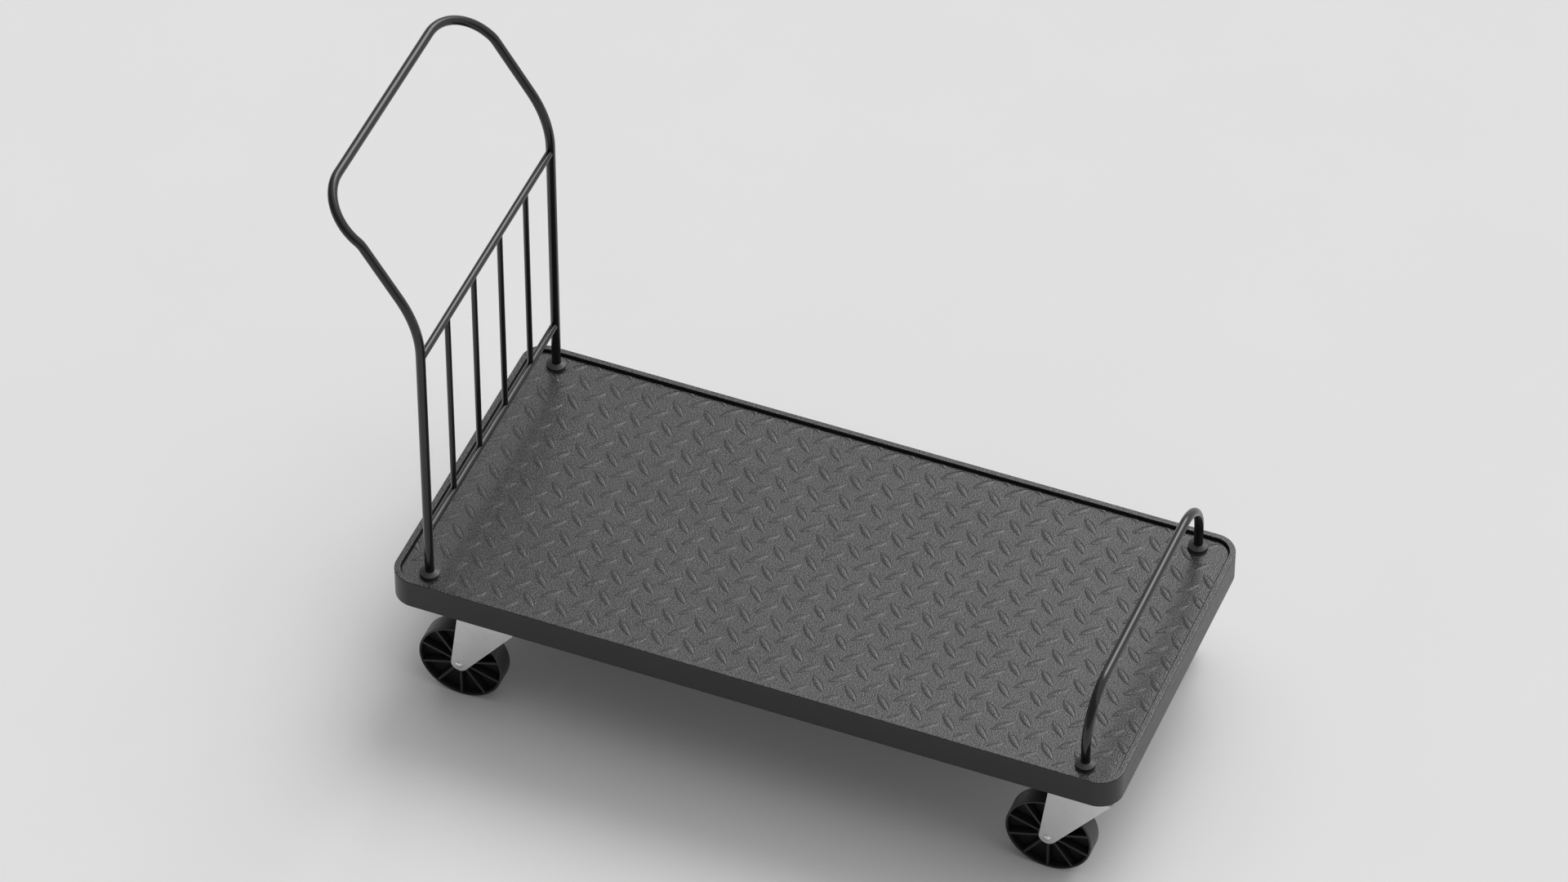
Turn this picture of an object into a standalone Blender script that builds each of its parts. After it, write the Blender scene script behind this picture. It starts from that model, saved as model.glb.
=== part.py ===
"""Flat-bed luggage cart: a tread-plate deck in a steel rim, a push handle, an end hoop, four swivel casters.

Units are metres and +Z is up.  The deck runs along X, with the push handle at -X and the hoop at +X.
The origin is on the floor, under the middle of the whole cart.  Left is +Y, right is -Y.
"""

import math

import bmesh
import bpy
from mathutils import Vector

# ---------------------------------------------------------------- driving dimensions

GAP = 0.0003                    # clearance between pieces that touch

# Deck
DECK_LENGTH = 1.270
DECK_WIDTH = 0.600
RIM_TOP_Z = 0.251
RIM_HEIGHT = 0.055
CORNER_RADIUS = 0.041
LIP_WIDTH = 0.010
LIP_EDGE_RADIUS = 0.0015
SKIRT_THICKNESS = 0.003
PLATE_RECESS = 0.006
PLATE_THICKNESS = 0.003

# Handle and hoop, both standing on the deck plate
TUBE_RADIUS = 0.008
POST_X = 0.573                  # from the deck's centre to a post's centre line
POST_Y = 0.2635
HANDLE_BEND_HEIGHT = 0.552      # heights of handle and hoop are above the rim's top
HANDLE_BEND_RADIUS = 0.205
HANDLE_LEAN = math.radians(33.0)
HANDLE_LEAN_LENGTH = 0.1755
GRIP_BEND_RADIUS = 0.040
GRIP_LEAN = math.radians(53.4)
GRIP_LEAN_LENGTH = 0.0935
GRIP_CORNER_RADIUS = 0.085
UPPER_RAIL_HEIGHT = 0.483
LOWER_RAIL_HEIGHT = 0.0925
RAIL_RADIUS = 0.0065
BAR_RADIUS = 0.005
BAR_COUNT = 4
HOOP_X = 0.5705
HOOP_HEIGHT = 0.1227
HOOP_CORNER_RADIUS = 0.084

# Collars and the bolts below them
COLLAR_RADIUS = 0.0168
COLLAR_WALL = 0.006             # height of the collar's upright side
COLLAR_RISE = 0.004             # how far its conical top rises from there to the tube
COLLAR_CLEARANCE = 0.0005
BOLT_RADIUS = 0.004
BOLT_CLEARANCE = 0.0006
BOLT_HEAD_RADIUS = 0.0075
BOLT_HEAD_HEIGHT = 0.0055

# Underframe
FRAME_BOTTOM_Z = 0.2115
CHANNEL_THICKNESS = 0.003
BOLSTER_WIDTH = 0.104
BOLSTER_REACH = 0.290           # from the deck's centre line to a bolster's end
SIDE_RAIL_Y = 0.200
SIDE_RAIL_WIDTH = 0.040
CROSSMEMBER_WIDTH = 0.040

# Casters
WHEEL_RADIUS = 0.0745
WHEEL_WIDTH = 0.036
CORE_INSET = 0.001              # from the tyre's side to the core's side
WHEEL_X = 0.517                 # from the deck's centre to an axle
CASTER_Y = 0.2626
CASTER_TRAIL = 0.045            # from the swivel axis back to the axle
TYRE_THICKNESS = 0.0026
TYRE_EDGE = 0.0015
RIM_RING_THICKNESS = 0.0014
WEB_THICKNESS = 0.005
RIB_COUNT = 10
RIB_THICKNESS = 0.0046
HUB_RADIUS = 0.018
HUB_BOSS_RADIUS = 0.015
HUB_LENGTH = 0.0373
BUSH_RADIUS = 0.009
BUSH_LENGTH = 0.0379
AXLE_RADIUS = 0.005
AXLE_CLEARANCE = 0.0003
AXLE_TIP = 0.002                # how far the axle bolt stands out of its nut
TOP_PLATE_LENGTH = 0.100
TOP_PLATE_WIDTH = 0.064
TOP_PLATE_THICKNESS = 0.0045
TOP_PLATE_CORNER = 0.008
BEARING_RADIUS = 0.031
BEARING_END_RADIUS = 0.028
BEARING_HEIGHT = 0.0167
BEARING_TAPER = 0.0058          # height of the taper above and below the bearing's band
BEARING_CLEARANCE = 0.0015
FORK_THICKNESS = 0.0025
FORK_CROWN_THICKNESS = 0.004
FORK_INSIDE_WIDTH = 0.0385
FORK_BEND_RADIUS = 0.005
FORK_FOOT_RADIUS = 0.0147
FORK_REAR_LEAN = math.radians(7.3)
FORK_FRONT_LEAN = math.radians(37.8)
KINGPIN_RADIUS = 0.006
KINGPIN_CLEARANCE = 0.0004
KINGPIN_NUT_RADIUS = 0.0105
KINGPIN_NUT_HEIGHT = 0.008
KINGPIN_TIP = 0.002
AXLE_HEAD_RADIUS = 0.0065
AXLE_HEAD_HEIGHT = 0.004
AXLE_NUT_RADIUS = 0.0085
AXLE_NUT_HEIGHT = 0.005

# Facets of round shapes
TUBE_SIDES = 12
BAR_SIDES = 8
CORNER_STEPS = 6
PLATE_CORNER_STEPS = 3
BEND_STEP = math.radians(9.0)
FORK_BEND_STEPS = 3
FORK_FOOT_STEPS = 10
TYRE_SIDES = 40
COLLAR_SIDES = 20
PIN_SIDES = 16
BUSH_SIDES = 20
HEX_SIDES = 6
SMOOTH_ANGLE = math.radians(35.0)
TUBE_SMOOTH_ANGLE = math.radians(50.0)

CUT_MARGIN = 0.010              # how far a cutter stands past the faces it cuts

# ---------------------------------------------------------------- sizes that follow

GRIP_X = POST_X + HANDLE_LEAN_LENGTH * math.sin(HANDLE_LEAN) + GRIP_LEAN_LENGTH * math.sin(GRIP_LEAN)
DECK_X = (GRIP_X + TUBE_RADIUS - DECK_LENGTH / 2) / 2      # the deck's centre, from the cart's origin
PLATE_TOP_Z = RIM_TOP_Z - PLATE_RECESS
PLATE_BOTTOM_Z = PLATE_TOP_Z - PLATE_THICKNESS
FRAME_TOP_Z = PLATE_BOTTOM_Z - GAP
# The tyre's facets are turned so that one lies flat on the floor.
AXLE_Z = WHEEL_RADIUS * math.cos(math.pi / TYRE_SIDES)
TOP_PLATE_TOP_Z = FRAME_BOTTOM_Z - GAP
BEARING_TOP_Z = TOP_PLATE_TOP_Z - TOP_PLATE_THICKNESS - GAP
CROWN_TOP_Z = BEARING_TOP_Z - BEARING_HEIGHT - GAP
CROWN_BOTTOM_Z = CROWN_TOP_Z - FORK_CROWN_THICKNESS
FORK_OUTSIDE_WIDTH = FORK_INSIDE_WIDTH + 2 * FORK_THICKNESS
CASTERS = (
    ("rear_left", -1, 1),
    ("rear_right", -1, -1),
    ("front_left", 1, 1),
    ("front_right", 1, -1),
)

# ---------------------------------------------------------------- materials


def make_material(name, colour, roughness, metallic):
    """A plain Principled material; colour is linear RGB."""
    material = bpy.data.materials.new(name)
    material.use_nodes = True
    shader = material.node_tree.nodes["Principled BSDF"]
    shader.inputs["Base Color"].default_value = (*colour, 1.0)
    shader.inputs["Roughness"].default_value = roughness
    shader.inputs["Metallic"].default_value = metallic
    material.diffuse_color = (*colour, 1.0)
    return material


MATERIAL_RECIPES = {
    "rim_coat": ((0.045, 0.045, 0.047), 0.55, 0.0),
    "deck_coat": ((0.090, 0.090, 0.092), 0.50, 0.2),
    "frame_coat": ((0.030, 0.030, 0.031), 0.60, 0.0),
    "tube_coat": ((0.022, 0.022, 0.023), 0.35, 0.0),
    "collar_coat": ((0.040, 0.040, 0.042), 0.40, 0.0),
    "zinc": ((0.500, 0.500, 0.505), 0.42, 0.9),
    "bearing_steel": ((0.280, 0.280, 0.290), 0.35, 1.0),
    "bright_steel": ((0.700, 0.700, 0.710), 0.20, 1.0),
    "wheel_plastic": ((0.014, 0.014, 0.014), 0.50, 0.0),
    "tyre_rubber": ((0.040, 0.040, 0.041), 0.80, 0.0),
    "bush_plastic": ((0.180, 0.180, 0.180), 0.40, 0.0),
}

# ---------------------------------------------------------------- mesh tools


def add_object(name, mesh, material, location=(0.0, 0.0, 0.0), parent=None):
    """Name an object, give it its material and place it, under its parent empty if it has one."""
    part = bpy.data.objects.new(name, mesh)
    bpy.context.scene.collection.objects.link(part)
    if not mesh.materials:
        mesh.materials.append(material)
    part.location = location
    part.parent = parent
    return part


def add_empty(name, location, parent=None):
    """A joint's axis: its pieces are children of this empty."""
    empty = bpy.data.objects.new(name, None)
    bpy.context.scene.collection.objects.link(empty)
    empty.empty_display_size = 0.03
    empty.location = location
    empty.parent = parent
    return empty


def finish_mesh(name, bm, smooth_angle=SMOOTH_ANGLE):
    """Turn a bmesh into a mesh with its faces pointing out, round surfaces smooth and edges sharp."""
    bmesh.ops.recalc_face_normals(bm, faces=bm.faces)
    mesh = bpy.data.meshes.new(name)
    bm.to_mesh(mesh)
    bm.free()
    mesh.shade_smooth()
    mesh.set_sharp_from_angle(angle=smooth_angle)
    return mesh


def bridge_rings(bm, rings, closed):
    """Join neighbouring rings of vertices with quads; closed also joins the last ring to the first."""
    pairs = list(zip(rings, rings[1:]))
    if closed:
        pairs.append((rings[-1], rings[0]))
    for lower, upper in pairs:
        count = len(lower)
        for i in range(count):
            j = (i + 1) % count
            bm.faces.new((lower[i], lower[j], upper[j], upper[i]))


def turned_mesh(name, profile, sides, phase=0.0, closed=True, axis="Z"):
    """Turn a profile of (radius, height) points about Z or Y.  A closed profile makes a ring.

    An open profile is capped at its first and last points.
    """
    bm = bmesh.new()
    rings = []
    for radius, height in profile:
        ring = []
        for i in range(sides):
            angle = phase + math.tau * i / sides
            across, along = radius * math.cos(angle), radius * math.sin(angle)
            place = (across, along, height) if axis == "Z" else (across, height, along)
            ring.append(bm.verts.new(place))
        rings.append(ring)
    bridge_rings(bm, rings, closed)
    if not closed:
        bm.faces.new(rings[0])
        bm.faces.new(rings[-1])
    return finish_mesh(name, bm)


def rounded_outline(length, width, radius, steps=CORNER_STEPS):
    """Points of a rectangle with round corners, centred on the origin, anticlockwise."""
    points = []
    corners = ((1, 1, 0.0), (-1, 1, 0.5), (-1, -1, 1.0), (1, -1, 1.5))
    for side_x, side_y, start in corners:
        centre_x = side_x * (length / 2 - radius)
        centre_y = side_y * (width / 2 - radius)
        for step in range(steps + 1):
            angle = math.pi * start + math.pi / 2 * step / steps
            points.append((centre_x + radius * math.cos(angle), centre_y + radius * math.sin(angle)))
    return points


def prism_mesh(name, outline, low, high, axis="Z"):
    """Extrude a flat outline between two heights along an axis.

    The outline's points are (x, y) for Z, (x, z) for Y and (y, z) for X.
    """
    def place(point, height):
        if axis == "Z":
            return (point[0], point[1], height)
        if axis == "Y":
            return (point[0], height, point[1])
        return (height, point[0], point[1])

    bm = bmesh.new()
    bottom = [bm.verts.new(place(point, low)) for point in outline]
    top = [bm.verts.new(place(point, high)) for point in outline]
    bridge_rings(bm, [bottom, top], closed=False)
    bm.faces.new(bottom)
    bm.faces.new(top)
    return finish_mesh(name, bm)


def cut_mesh(base, cutters, operation="DIFFERENCE"):
    """Apply Boolean cuts to a mesh and return the result as a new mesh with the same name."""
    name = base.name
    work = bpy.data.objects.new("work", base)
    bpy.context.scene.collection.objects.link(work)
    tools = []
    for cutter in cutters:
        tool = bpy.data.objects.new("cutter", cutter)
        bpy.context.scene.collection.objects.link(tool)
        tool.hide_render = True
        tool.display_type = "WIRE"
        modifier = work.modifiers.new("cut", "BOOLEAN")
        modifier.operation = operation
        modifier.solver = "EXACT"
        modifier.object = tool
        tools.append(tool)
    evaluated = work.evaluated_get(bpy.context.evaluated_depsgraph_get())
    result = bpy.data.meshes.new_from_object(evaluated)
    for item in (work, *tools):
        bpy.data.objects.remove(item, do_unlink=True)
    bpy.data.meshes.remove(base)
    result.name = name
    result.materials.clear()
    result.shade_smooth()
    result.set_sharp_from_angle(angle=SMOOTH_ANGLE)
    return result


def filleted_path(corners, radii):
    """A path through the corners, with an arc of the given radius at each inner corner."""
    path = [Vector(corners[0])]
    for i, radius in enumerate(radii, start=1):
        corner = Vector(corners[i])
        back = (Vector(corners[i - 1]) - corner).normalized()
        onward = (Vector(corners[i + 1]) - corner).normalized()
        half = back.angle(onward) / 2
        centre = corner + (back + onward).normalized() * (radius / math.sin(half))
        start = corner + back * (radius / math.tan(half)) - centre
        end = corner + onward * (radius / math.tan(half)) - centre
        sweep = start.angle(end)
        steps = max(2, math.ceil(sweep / BEND_STEP))
        for step in range(steps + 1):
            share = step / steps
            weight_start = math.sin((1 - share) * sweep) / math.sin(sweep)
            weight_end = math.sin(share * sweep) / math.sin(sweep)
            path.append(centre + start * weight_start + end * weight_end)
    path.append(Vector(corners[-1]))
    return path


def swept_mesh(name, path, radius, sides):
    """A round bar along a path, with flat ends.  Rings at bends lie on the mitre plane."""
    bm = bmesh.new()
    directions = [(after - before).normalized() for before, after in zip(path, path[1:])]
    normal = directions[0].orthogonal().normalized()
    rings = []
    for i, point in enumerate(path):
        before = directions[max(i - 1, 0)]
        after = directions[min(i, len(directions) - 1)]
        tangent = (before + after).normalized()
        # Carry the ring's frame along the path without twist, then slide it onto the mitre plane.
        normal = (normal - before * normal.dot(before)).normalized()
        side = before.cross(normal)
        ring = []
        for k in range(sides):
            angle = math.tau * (k + 0.5) / sides
            offset = (normal * math.cos(angle) + side * math.sin(angle)) * radius
            offset -= before * (offset.dot(tangent) / before.dot(tangent))
            ring.append(bm.verts.new(point + offset))
        rings.append(ring)
        normal = (normal - after * normal.dot(after)).normalized()
    bridge_rings(bm, rings, closed=False)
    bm.faces.new(rings[0])
    bm.faces.new(rings[-1])
    return finish_mesh(name, bm, smooth_angle=TUBE_SMOOTH_ANGLE)


# ---------------------------------------------------------------- deck


def rim_profile():
    """The rim's section as (distance in from the outer face, height), once round."""
    top, bottom = RIM_TOP_Z, RIM_TOP_Z - RIM_HEIGHT
    edge = LIP_EDGE_RADIUS
    return [
        (0.0, bottom),
        (0.0, top - edge),
        (edge, top),
        (LIP_WIDTH - edge / 2, top),
        (LIP_WIDTH, top - edge / 2),
        (LIP_WIDTH, PLATE_BOTTOM_Z),
        (SKIRT_THICKNESS, PLATE_BOTTOM_Z),
        (SKIRT_THICKNESS, bottom),
    ]


def build_rim(material):
    """The deck's edge: a deep skirt, thickened at the top to a raised lip round the plate."""
    bm = bmesh.new()
    rings = []
    for inset, height in rim_profile():
        outline = rounded_outline(DECK_LENGTH - 2 * inset, DECK_WIDTH - 2 * inset, CORNER_RADIUS - inset)
        rings.append([bm.verts.new((x, y, height)) for x, y in outline])
    bridge_rings(bm, rings, closed=True)
    add_object("deck_rim", finish_mesh("deck_rim", bm), material, (DECK_X, 0.0, 0.0))


def foot_places():
    """Where the four tube feet stand: name, deck x and y."""
    return [
        ("handle_left", -POST_X, POST_Y),
        ("handle_right", -POST_X, -POST_Y),
        ("hoop_left", HOOP_X, POST_Y),
        ("hoop_right", HOOP_X, -POST_Y),
    ]


def round_cutter(radius, low, high, sides=PIN_SIDES, centre=(0.0, 0.0), axis="Z"):
    """A cylinder that cuts a hole along Z or Y."""
    outline = []
    for i in range(sides):
        angle = math.tau * (i + 0.5) / sides
        outline.append((centre[0] + radius * math.cos(angle), centre[1] + radius * math.sin(angle)))
    return prism_mesh("cutter", outline, low, high, axis)


def build_plate(material):
    """The deck plate, lying inside the lip, with a hole for each foot bolt."""
    inset = LIP_WIDTH + GAP
    outline = rounded_outline(DECK_LENGTH - 2 * inset, DECK_WIDTH - 2 * inset, CORNER_RADIUS - inset)
    plate = prism_mesh("deck_plate", outline, PLATE_BOTTOM_Z, PLATE_TOP_Z)
    radius = BOLT_RADIUS + BOLT_CLEARANCE
    low, high = PLATE_BOTTOM_Z - CUT_MARGIN, PLATE_TOP_Z + CUT_MARGIN
    holes = [round_cutter(radius, low, high, centre=(x, y)) for _, x, y in foot_places()]
    add_object("deck_plate", cut_mesh(plate, holes), material, (DECK_X, 0.0, 0.0))


def channel_outline(width):
    """Section of an upright U channel: a web at the bottom and two flanges."""
    half, thick = width / 2, CHANNEL_THICKNESS
    return [
        (-half, FRAME_BOTTOM_Z),
        (half, FRAME_BOTTOM_Z),
        (half, FRAME_TOP_Z),
        (half - thick, FRAME_TOP_Z),
        (half - thick, FRAME_BOTTOM_Z + thick),
        (thick - half, FRAME_BOTTOM_Z + thick),
        (thick - half, FRAME_TOP_Z),
        (-half, FRAME_TOP_Z),
    ]


def build_underframe(material):
    """Two wide bolsters over the casters, two side rails between them and two crossmembers."""
    rail_ends = []
    for name, end in (("rear", -1), ("front", 1)):
        centre = end * WHEEL_X + CASTER_TRAIL
        channel = prism_mesh(f"bolster_{name}", channel_outline(BOLSTER_WIDTH), -BOLSTER_REACH, BOLSTER_REACH, "Y")
        add_object(f"bolster_{name}", channel, material, (DECK_X + centre, 0.0, 0.0))
        rail_ends.append(centre - end * (BOLSTER_WIDTH / 2 + GAP))

    rear, front = rail_ends
    for name, side in (("left", 1), ("right", -1)):
        channel = prism_mesh(f"side_rail_{name}", channel_outline(SIDE_RAIL_WIDTH), rear, front, "X")
        add_object(f"side_rail_{name}", channel, material, (DECK_X, side * SIDE_RAIL_Y, 0.0))

    cross_reach = SIDE_RAIL_Y - SIDE_RAIL_WIDTH / 2 - GAP
    for name, share in (("rear", 1 / 3), ("front", 2 / 3)):
        channel = prism_mesh(f"crossmember_{name}", channel_outline(CROSSMEMBER_WIDTH), -cross_reach, cross_reach, "Y")
        add_object(f"crossmember_{name}", channel, material, (DECK_X + rear + (front - rear) * share, 0.0, 0.0))


# ---------------------------------------------------------------- handle and hoop


def build_handle(material):
    """The push handle: one bent tube, two cross rails and the upright bars between them."""
    foot_z = PLATE_TOP_Z + GAP
    bend_z = RIM_TOP_Z + HANDLE_BEND_HEIGHT
    knee_x = POST_X + HANDLE_LEAN_LENGTH * math.sin(HANDLE_LEAN)
    knee_z = bend_z + HANDLE_LEAN_LENGTH * math.cos(HANDLE_LEAN)
    grip_z = knee_z + GRIP_LEAN_LENGTH * math.cos(GRIP_LEAN)
    side_run = [(-POST_X, foot_z), (-POST_X, bend_z), (-knee_x, knee_z), (-GRIP_X, grip_z)]
    corners = [(x, -POST_Y, z) for x, z in side_run]
    corners += [(x, POST_Y, z) for x, z in reversed(side_run)]
    radii = [HANDLE_BEND_RADIUS, GRIP_BEND_RADIUS, GRIP_CORNER_RADIUS]
    path = filleted_path(corners, radii + radii[::-1])
    tube = swept_mesh("handle_tube", path, TUBE_RADIUS, TUBE_SIDES)
    add_object("handle_tube", tube, material, (DECK_X, 0.0, 0.0))

    rail_reach = POST_Y - TUBE_RADIUS - GAP
    rail_heights = {"upper": UPPER_RAIL_HEIGHT, "lower": LOWER_RAIL_HEIGHT}
    for name, height in rail_heights.items():
        ends = [Vector((0.0, -rail_reach, 0.0)), Vector((0.0, rail_reach, 0.0))]
        rail = swept_mesh(f"handle_{name}_rail", ends, RAIL_RADIUS, TUBE_SIDES)
        add_object(f"handle_{name}_rail", rail, material, (DECK_X - POST_X, 0.0, RIM_TOP_Z + height))

    low = RIM_TOP_Z + LOWER_RAIL_HEIGHT + RAIL_RADIUS + GAP
    high = RIM_TOP_Z + UPPER_RAIL_HEIGHT - RAIL_RADIUS - GAP
    pitch = 2 * POST_Y / (BAR_COUNT + 1)
    for number in range(1, BAR_COUNT + 1):
        ends = [Vector((0.0, 0.0, low)), Vector((0.0, 0.0, high))]
        bar = swept_mesh(f"handle_bar_{number}", ends, BAR_RADIUS, BAR_SIDES)
        add_object(f"handle_bar_{number}", bar, material, (DECK_X - POST_X, pitch * number - POST_Y, 0.0))


def build_hoop(material):
    """The low hoop at the deck's other end."""
    foot_z = PLATE_TOP_Z + GAP
    top_z = RIM_TOP_Z + HOOP_HEIGHT
    corners = [(0.0, -POST_Y, foot_z), (0.0, -POST_Y, top_z), (0.0, POST_Y, top_z), (0.0, POST_Y, foot_z)]
    path = filleted_path(corners, [HOOP_CORNER_RADIUS, HOOP_CORNER_RADIUS])
    add_object("hoop_tube", swept_mesh("hoop_tube", path, TUBE_RADIUS, TUBE_SIDES), material,
               (DECK_X + HOOP_X, 0.0, 0.0))


def collar_mesh():
    """A turned collar with an upright side and a shallow conical top, round a tube's foot."""
    bore = TUBE_RADIUS + COLLAR_CLEARANCE
    base = PLATE_TOP_Z + GAP
    profile = [
        (bore, base),
        (COLLAR_RADIUS, base),
        (COLLAR_RADIUS, base + COLLAR_WALL),
        (bore, base + COLLAR_WALL + COLLAR_RISE),
    ]
    return turned_mesh("collar", profile, COLLAR_SIDES)


def foot_bolt_mesh():
    """A hex bolt from below the plate, its shank standing up to the tube's foot."""
    head_top = PLATE_BOTTOM_Z - GAP
    head = turned_mesh("foot_bolt", [(BOLT_HEAD_RADIUS, head_top - BOLT_HEAD_HEIGHT), (BOLT_HEAD_RADIUS, head_top)],
                       HEX_SIDES, closed=False)
    shank = round_cutter(BOLT_RADIUS, head_top - BOLT_HEAD_HEIGHT / 2, PLATE_TOP_Z, BAR_SIDES)
    return cut_mesh(head, [shank], "UNION")


def build_feet(collar_material, bolt_material):
    """A collar on the deck and a bolt under it at each tube's foot."""
    collar = collar_mesh()
    bolt = foot_bolt_mesh()
    for name, x, y in foot_places():
        add_object(f"collar_{name}", collar, collar_material, (DECK_X + x, y, 0.0))
        add_object(f"foot_bolt_{name}", bolt, bolt_material, (DECK_X + x, y, 0.0))


# ---------------------------------------------------------------- casters
# Caster meshes are made about the axle: x forward, z up, the swivel axis at x = CASTER_TRAIL.


def top_plate_mesh():
    """The mounting plate, with a hole for the kingpin."""
    outline = rounded_outline(TOP_PLATE_LENGTH, TOP_PLATE_WIDTH, TOP_PLATE_CORNER, PLATE_CORNER_STEPS)
    plate = prism_mesh("top_plate", outline, TOP_PLATE_TOP_Z - TOP_PLATE_THICKNESS, TOP_PLATE_TOP_Z)
    low, high = TOP_PLATE_TOP_Z - CUT_MARGIN, TOP_PLATE_TOP_Z + CUT_MARGIN
    hole = round_cutter(KINGPIN_RADIUS + KINGPIN_CLEARANCE, low, high)
    return cut_mesh(plate, [hole])


def bearing_mesh():
    """The swivel bearing's housing: a banded ring between the top plate and the fork."""
    bottom = BEARING_TOP_Z - BEARING_HEIGHT
    bore = KINGPIN_RADIUS + BEARING_CLEARANCE
    profile = [
        (bore, bottom),
        (BEARING_END_RADIUS, bottom),
        (BEARING_RADIUS, bottom + BEARING_TAPER),
        (BEARING_RADIUS, BEARING_TOP_Z - BEARING_TAPER),
        (BEARING_END_RADIUS, BEARING_TOP_Z),
        (bore, BEARING_TOP_Z),
    ]
    return turned_mesh("bearing", profile, BUSH_SIDES)


def kingpin_mesh():
    """The swivel's pin, with a hexagonal nut below the fork's crown."""
    nut_top = CROWN_BOTTOM_Z - GAP
    nut_low = nut_top - KINGPIN_NUT_HEIGHT
    nut = turned_mesh("kingpin", [(KINGPIN_NUT_RADIUS, nut_low), (KINGPIN_NUT_RADIUS, nut_top)],
                      HEX_SIDES, closed=False)
    shank = round_cutter(KINGPIN_RADIUS, nut_low - KINGPIN_TIP, TOP_PLATE_TOP_Z - GAP)
    return cut_mesh(nut, [shank], "UNION")


def fork_side_outline():
    """The fork's outline from the side: a round foot at the axle, widening to the crown above it."""
    crown = CROWN_TOP_Z - AXLE_Z
    foot = FORK_FOOT_RADIUS
    # Each straight edge leaves the foot's circle where its outward normal points.
    rear_normal = math.pi - FORK_REAR_LEAN
    front_normal = -FORK_FRONT_LEAN
    rear_x = -foot / math.cos(FORK_REAR_LEAN) + crown * math.tan(FORK_REAR_LEAN)
    front_x = foot / math.cos(FORK_FRONT_LEAN) + crown * math.tan(FORK_FRONT_LEAN)
    outline = [(front_x, crown), (rear_x, crown)]
    sweep = front_normal + math.tau - rear_normal
    for step in range(FORK_FOOT_STEPS + 1):
        angle = rear_normal + sweep * step / FORK_FOOT_STEPS
        outline.append((foot * math.cos(angle), foot * math.sin(angle)))
    return [(x, z + AXLE_Z) for x, z in outline]


def fork_section():
    """The fork's section across the cart: a crown and two cheeks, bent at round corners."""
    half, inner = FORK_OUTSIDE_WIDTH / 2, FORK_INSIDE_WIDTH / 2
    bottom = AXLE_Z - FORK_FOOT_RADIUS - CUT_MARGIN
    radius = FORK_BEND_RADIUS
    section = [(inner, bottom), (half, bottom)]
    for side, start in ((1, 0.0), (-1, math.pi / 2)):
        for step in range(FORK_BEND_STEPS + 1):
            angle = start + math.pi / 2 * step / FORK_BEND_STEPS
            y = side * (half - radius) + radius * math.cos(angle)
            section.append((y, CROWN_TOP_Z - radius + radius * math.sin(angle)))
    section += [(-half, bottom), (-inner, bottom), (-inner, CROWN_BOTTOM_Z), (inner, CROWN_BOTTOM_Z)]
    return section


def fork_mesh():
    """The fork: a U-shaped section trimmed to its side outline, with its pin and axle holes."""
    blank = prism_mesh("fork", fork_section(), -WHEEL_RADIUS, 2 * WHEEL_RADIUS, "X")
    side = prism_mesh("side", fork_side_outline(), -FORK_OUTSIDE_WIDTH, FORK_OUTSIDE_WIDTH, "Y")
    trimmed = cut_mesh(blank, [side], "INTERSECT")
    low, high = CROWN_BOTTOM_Z - CUT_MARGIN, CROWN_TOP_Z + CUT_MARGIN
    pin_hole = round_cutter(KINGPIN_RADIUS + KINGPIN_CLEARANCE, low, high, centre=(CASTER_TRAIL, 0.0))
    axle_hole = round_cutter(AXLE_RADIUS + AXLE_CLEARANCE, -FORK_OUTSIDE_WIDTH, FORK_OUTSIDE_WIDTH,
                             centre=(0.0, AXLE_Z), axis="Y")
    return cut_mesh(trimmed, [pin_hole, axle_hole])


def pocket_outline(middle, inner, outer):
    """One recess between two ribs whose sides are parallel to the ribs' centre lines."""
    half_pitch = math.pi / RIB_COUNT
    points = []
    for radius, steps, direction in ((outer, 3, 1), (inner, 1, -1)):
        reach = half_pitch - math.asin(RIB_THICKNESS / 2 / radius)
        for step in range(steps + 1):
            angle = middle + direction * reach * (2 * step / steps - 1)
            points.append((radius * math.cos(angle), radius * math.sin(angle)))
    return points


def wheel_mesh():
    """The wheel's core about its axle: hub, web, ribs on both sides and the ring that holds the tyre."""
    ring_outer = WHEEL_RADIUS - TYRE_THICKNESS - GAP
    ring_inner = ring_outer - RIM_RING_THICKNESS
    half_width = WHEEL_WIDTH / 2 - CORE_INSET
    bore = BUSH_RADIUS + GAP
    profile = [
        (bore, -HUB_LENGTH / 2),
        (HUB_BOSS_RADIUS, -HUB_LENGTH / 2),
        (HUB_BOSS_RADIUS, -half_width),
        (ring_outer, -half_width),
        (ring_outer, half_width),
        (HUB_BOSS_RADIUS, half_width),
        (HUB_BOSS_RADIUS, HUB_LENGTH / 2),
        (bore, HUB_LENGTH / 2),
    ]
    half_facet = math.pi / TYRE_SIDES
    core = turned_mesh("wheel", profile, TYRE_SIDES, phase=half_facet, axis="Y")
    pockets = []
    for number in range(RIB_COUNT):
        # The ribs point down, and every tenth of a turn from there.
        middle = -math.pi / 2 + math.pi / RIB_COUNT * (2 * number + 1)
        outline = pocket_outline(middle, HUB_RADIUS, ring_inner)
        pockets.append(prism_mesh("pocket", outline, WEB_THICKNESS / 2, WHEEL_WIDTH, "Y"))
        pockets.append(prism_mesh("pocket", outline, -WHEEL_WIDTH, -WEB_THICKNESS / 2, "Y"))
    return cut_mesh(core, pockets)


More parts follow.
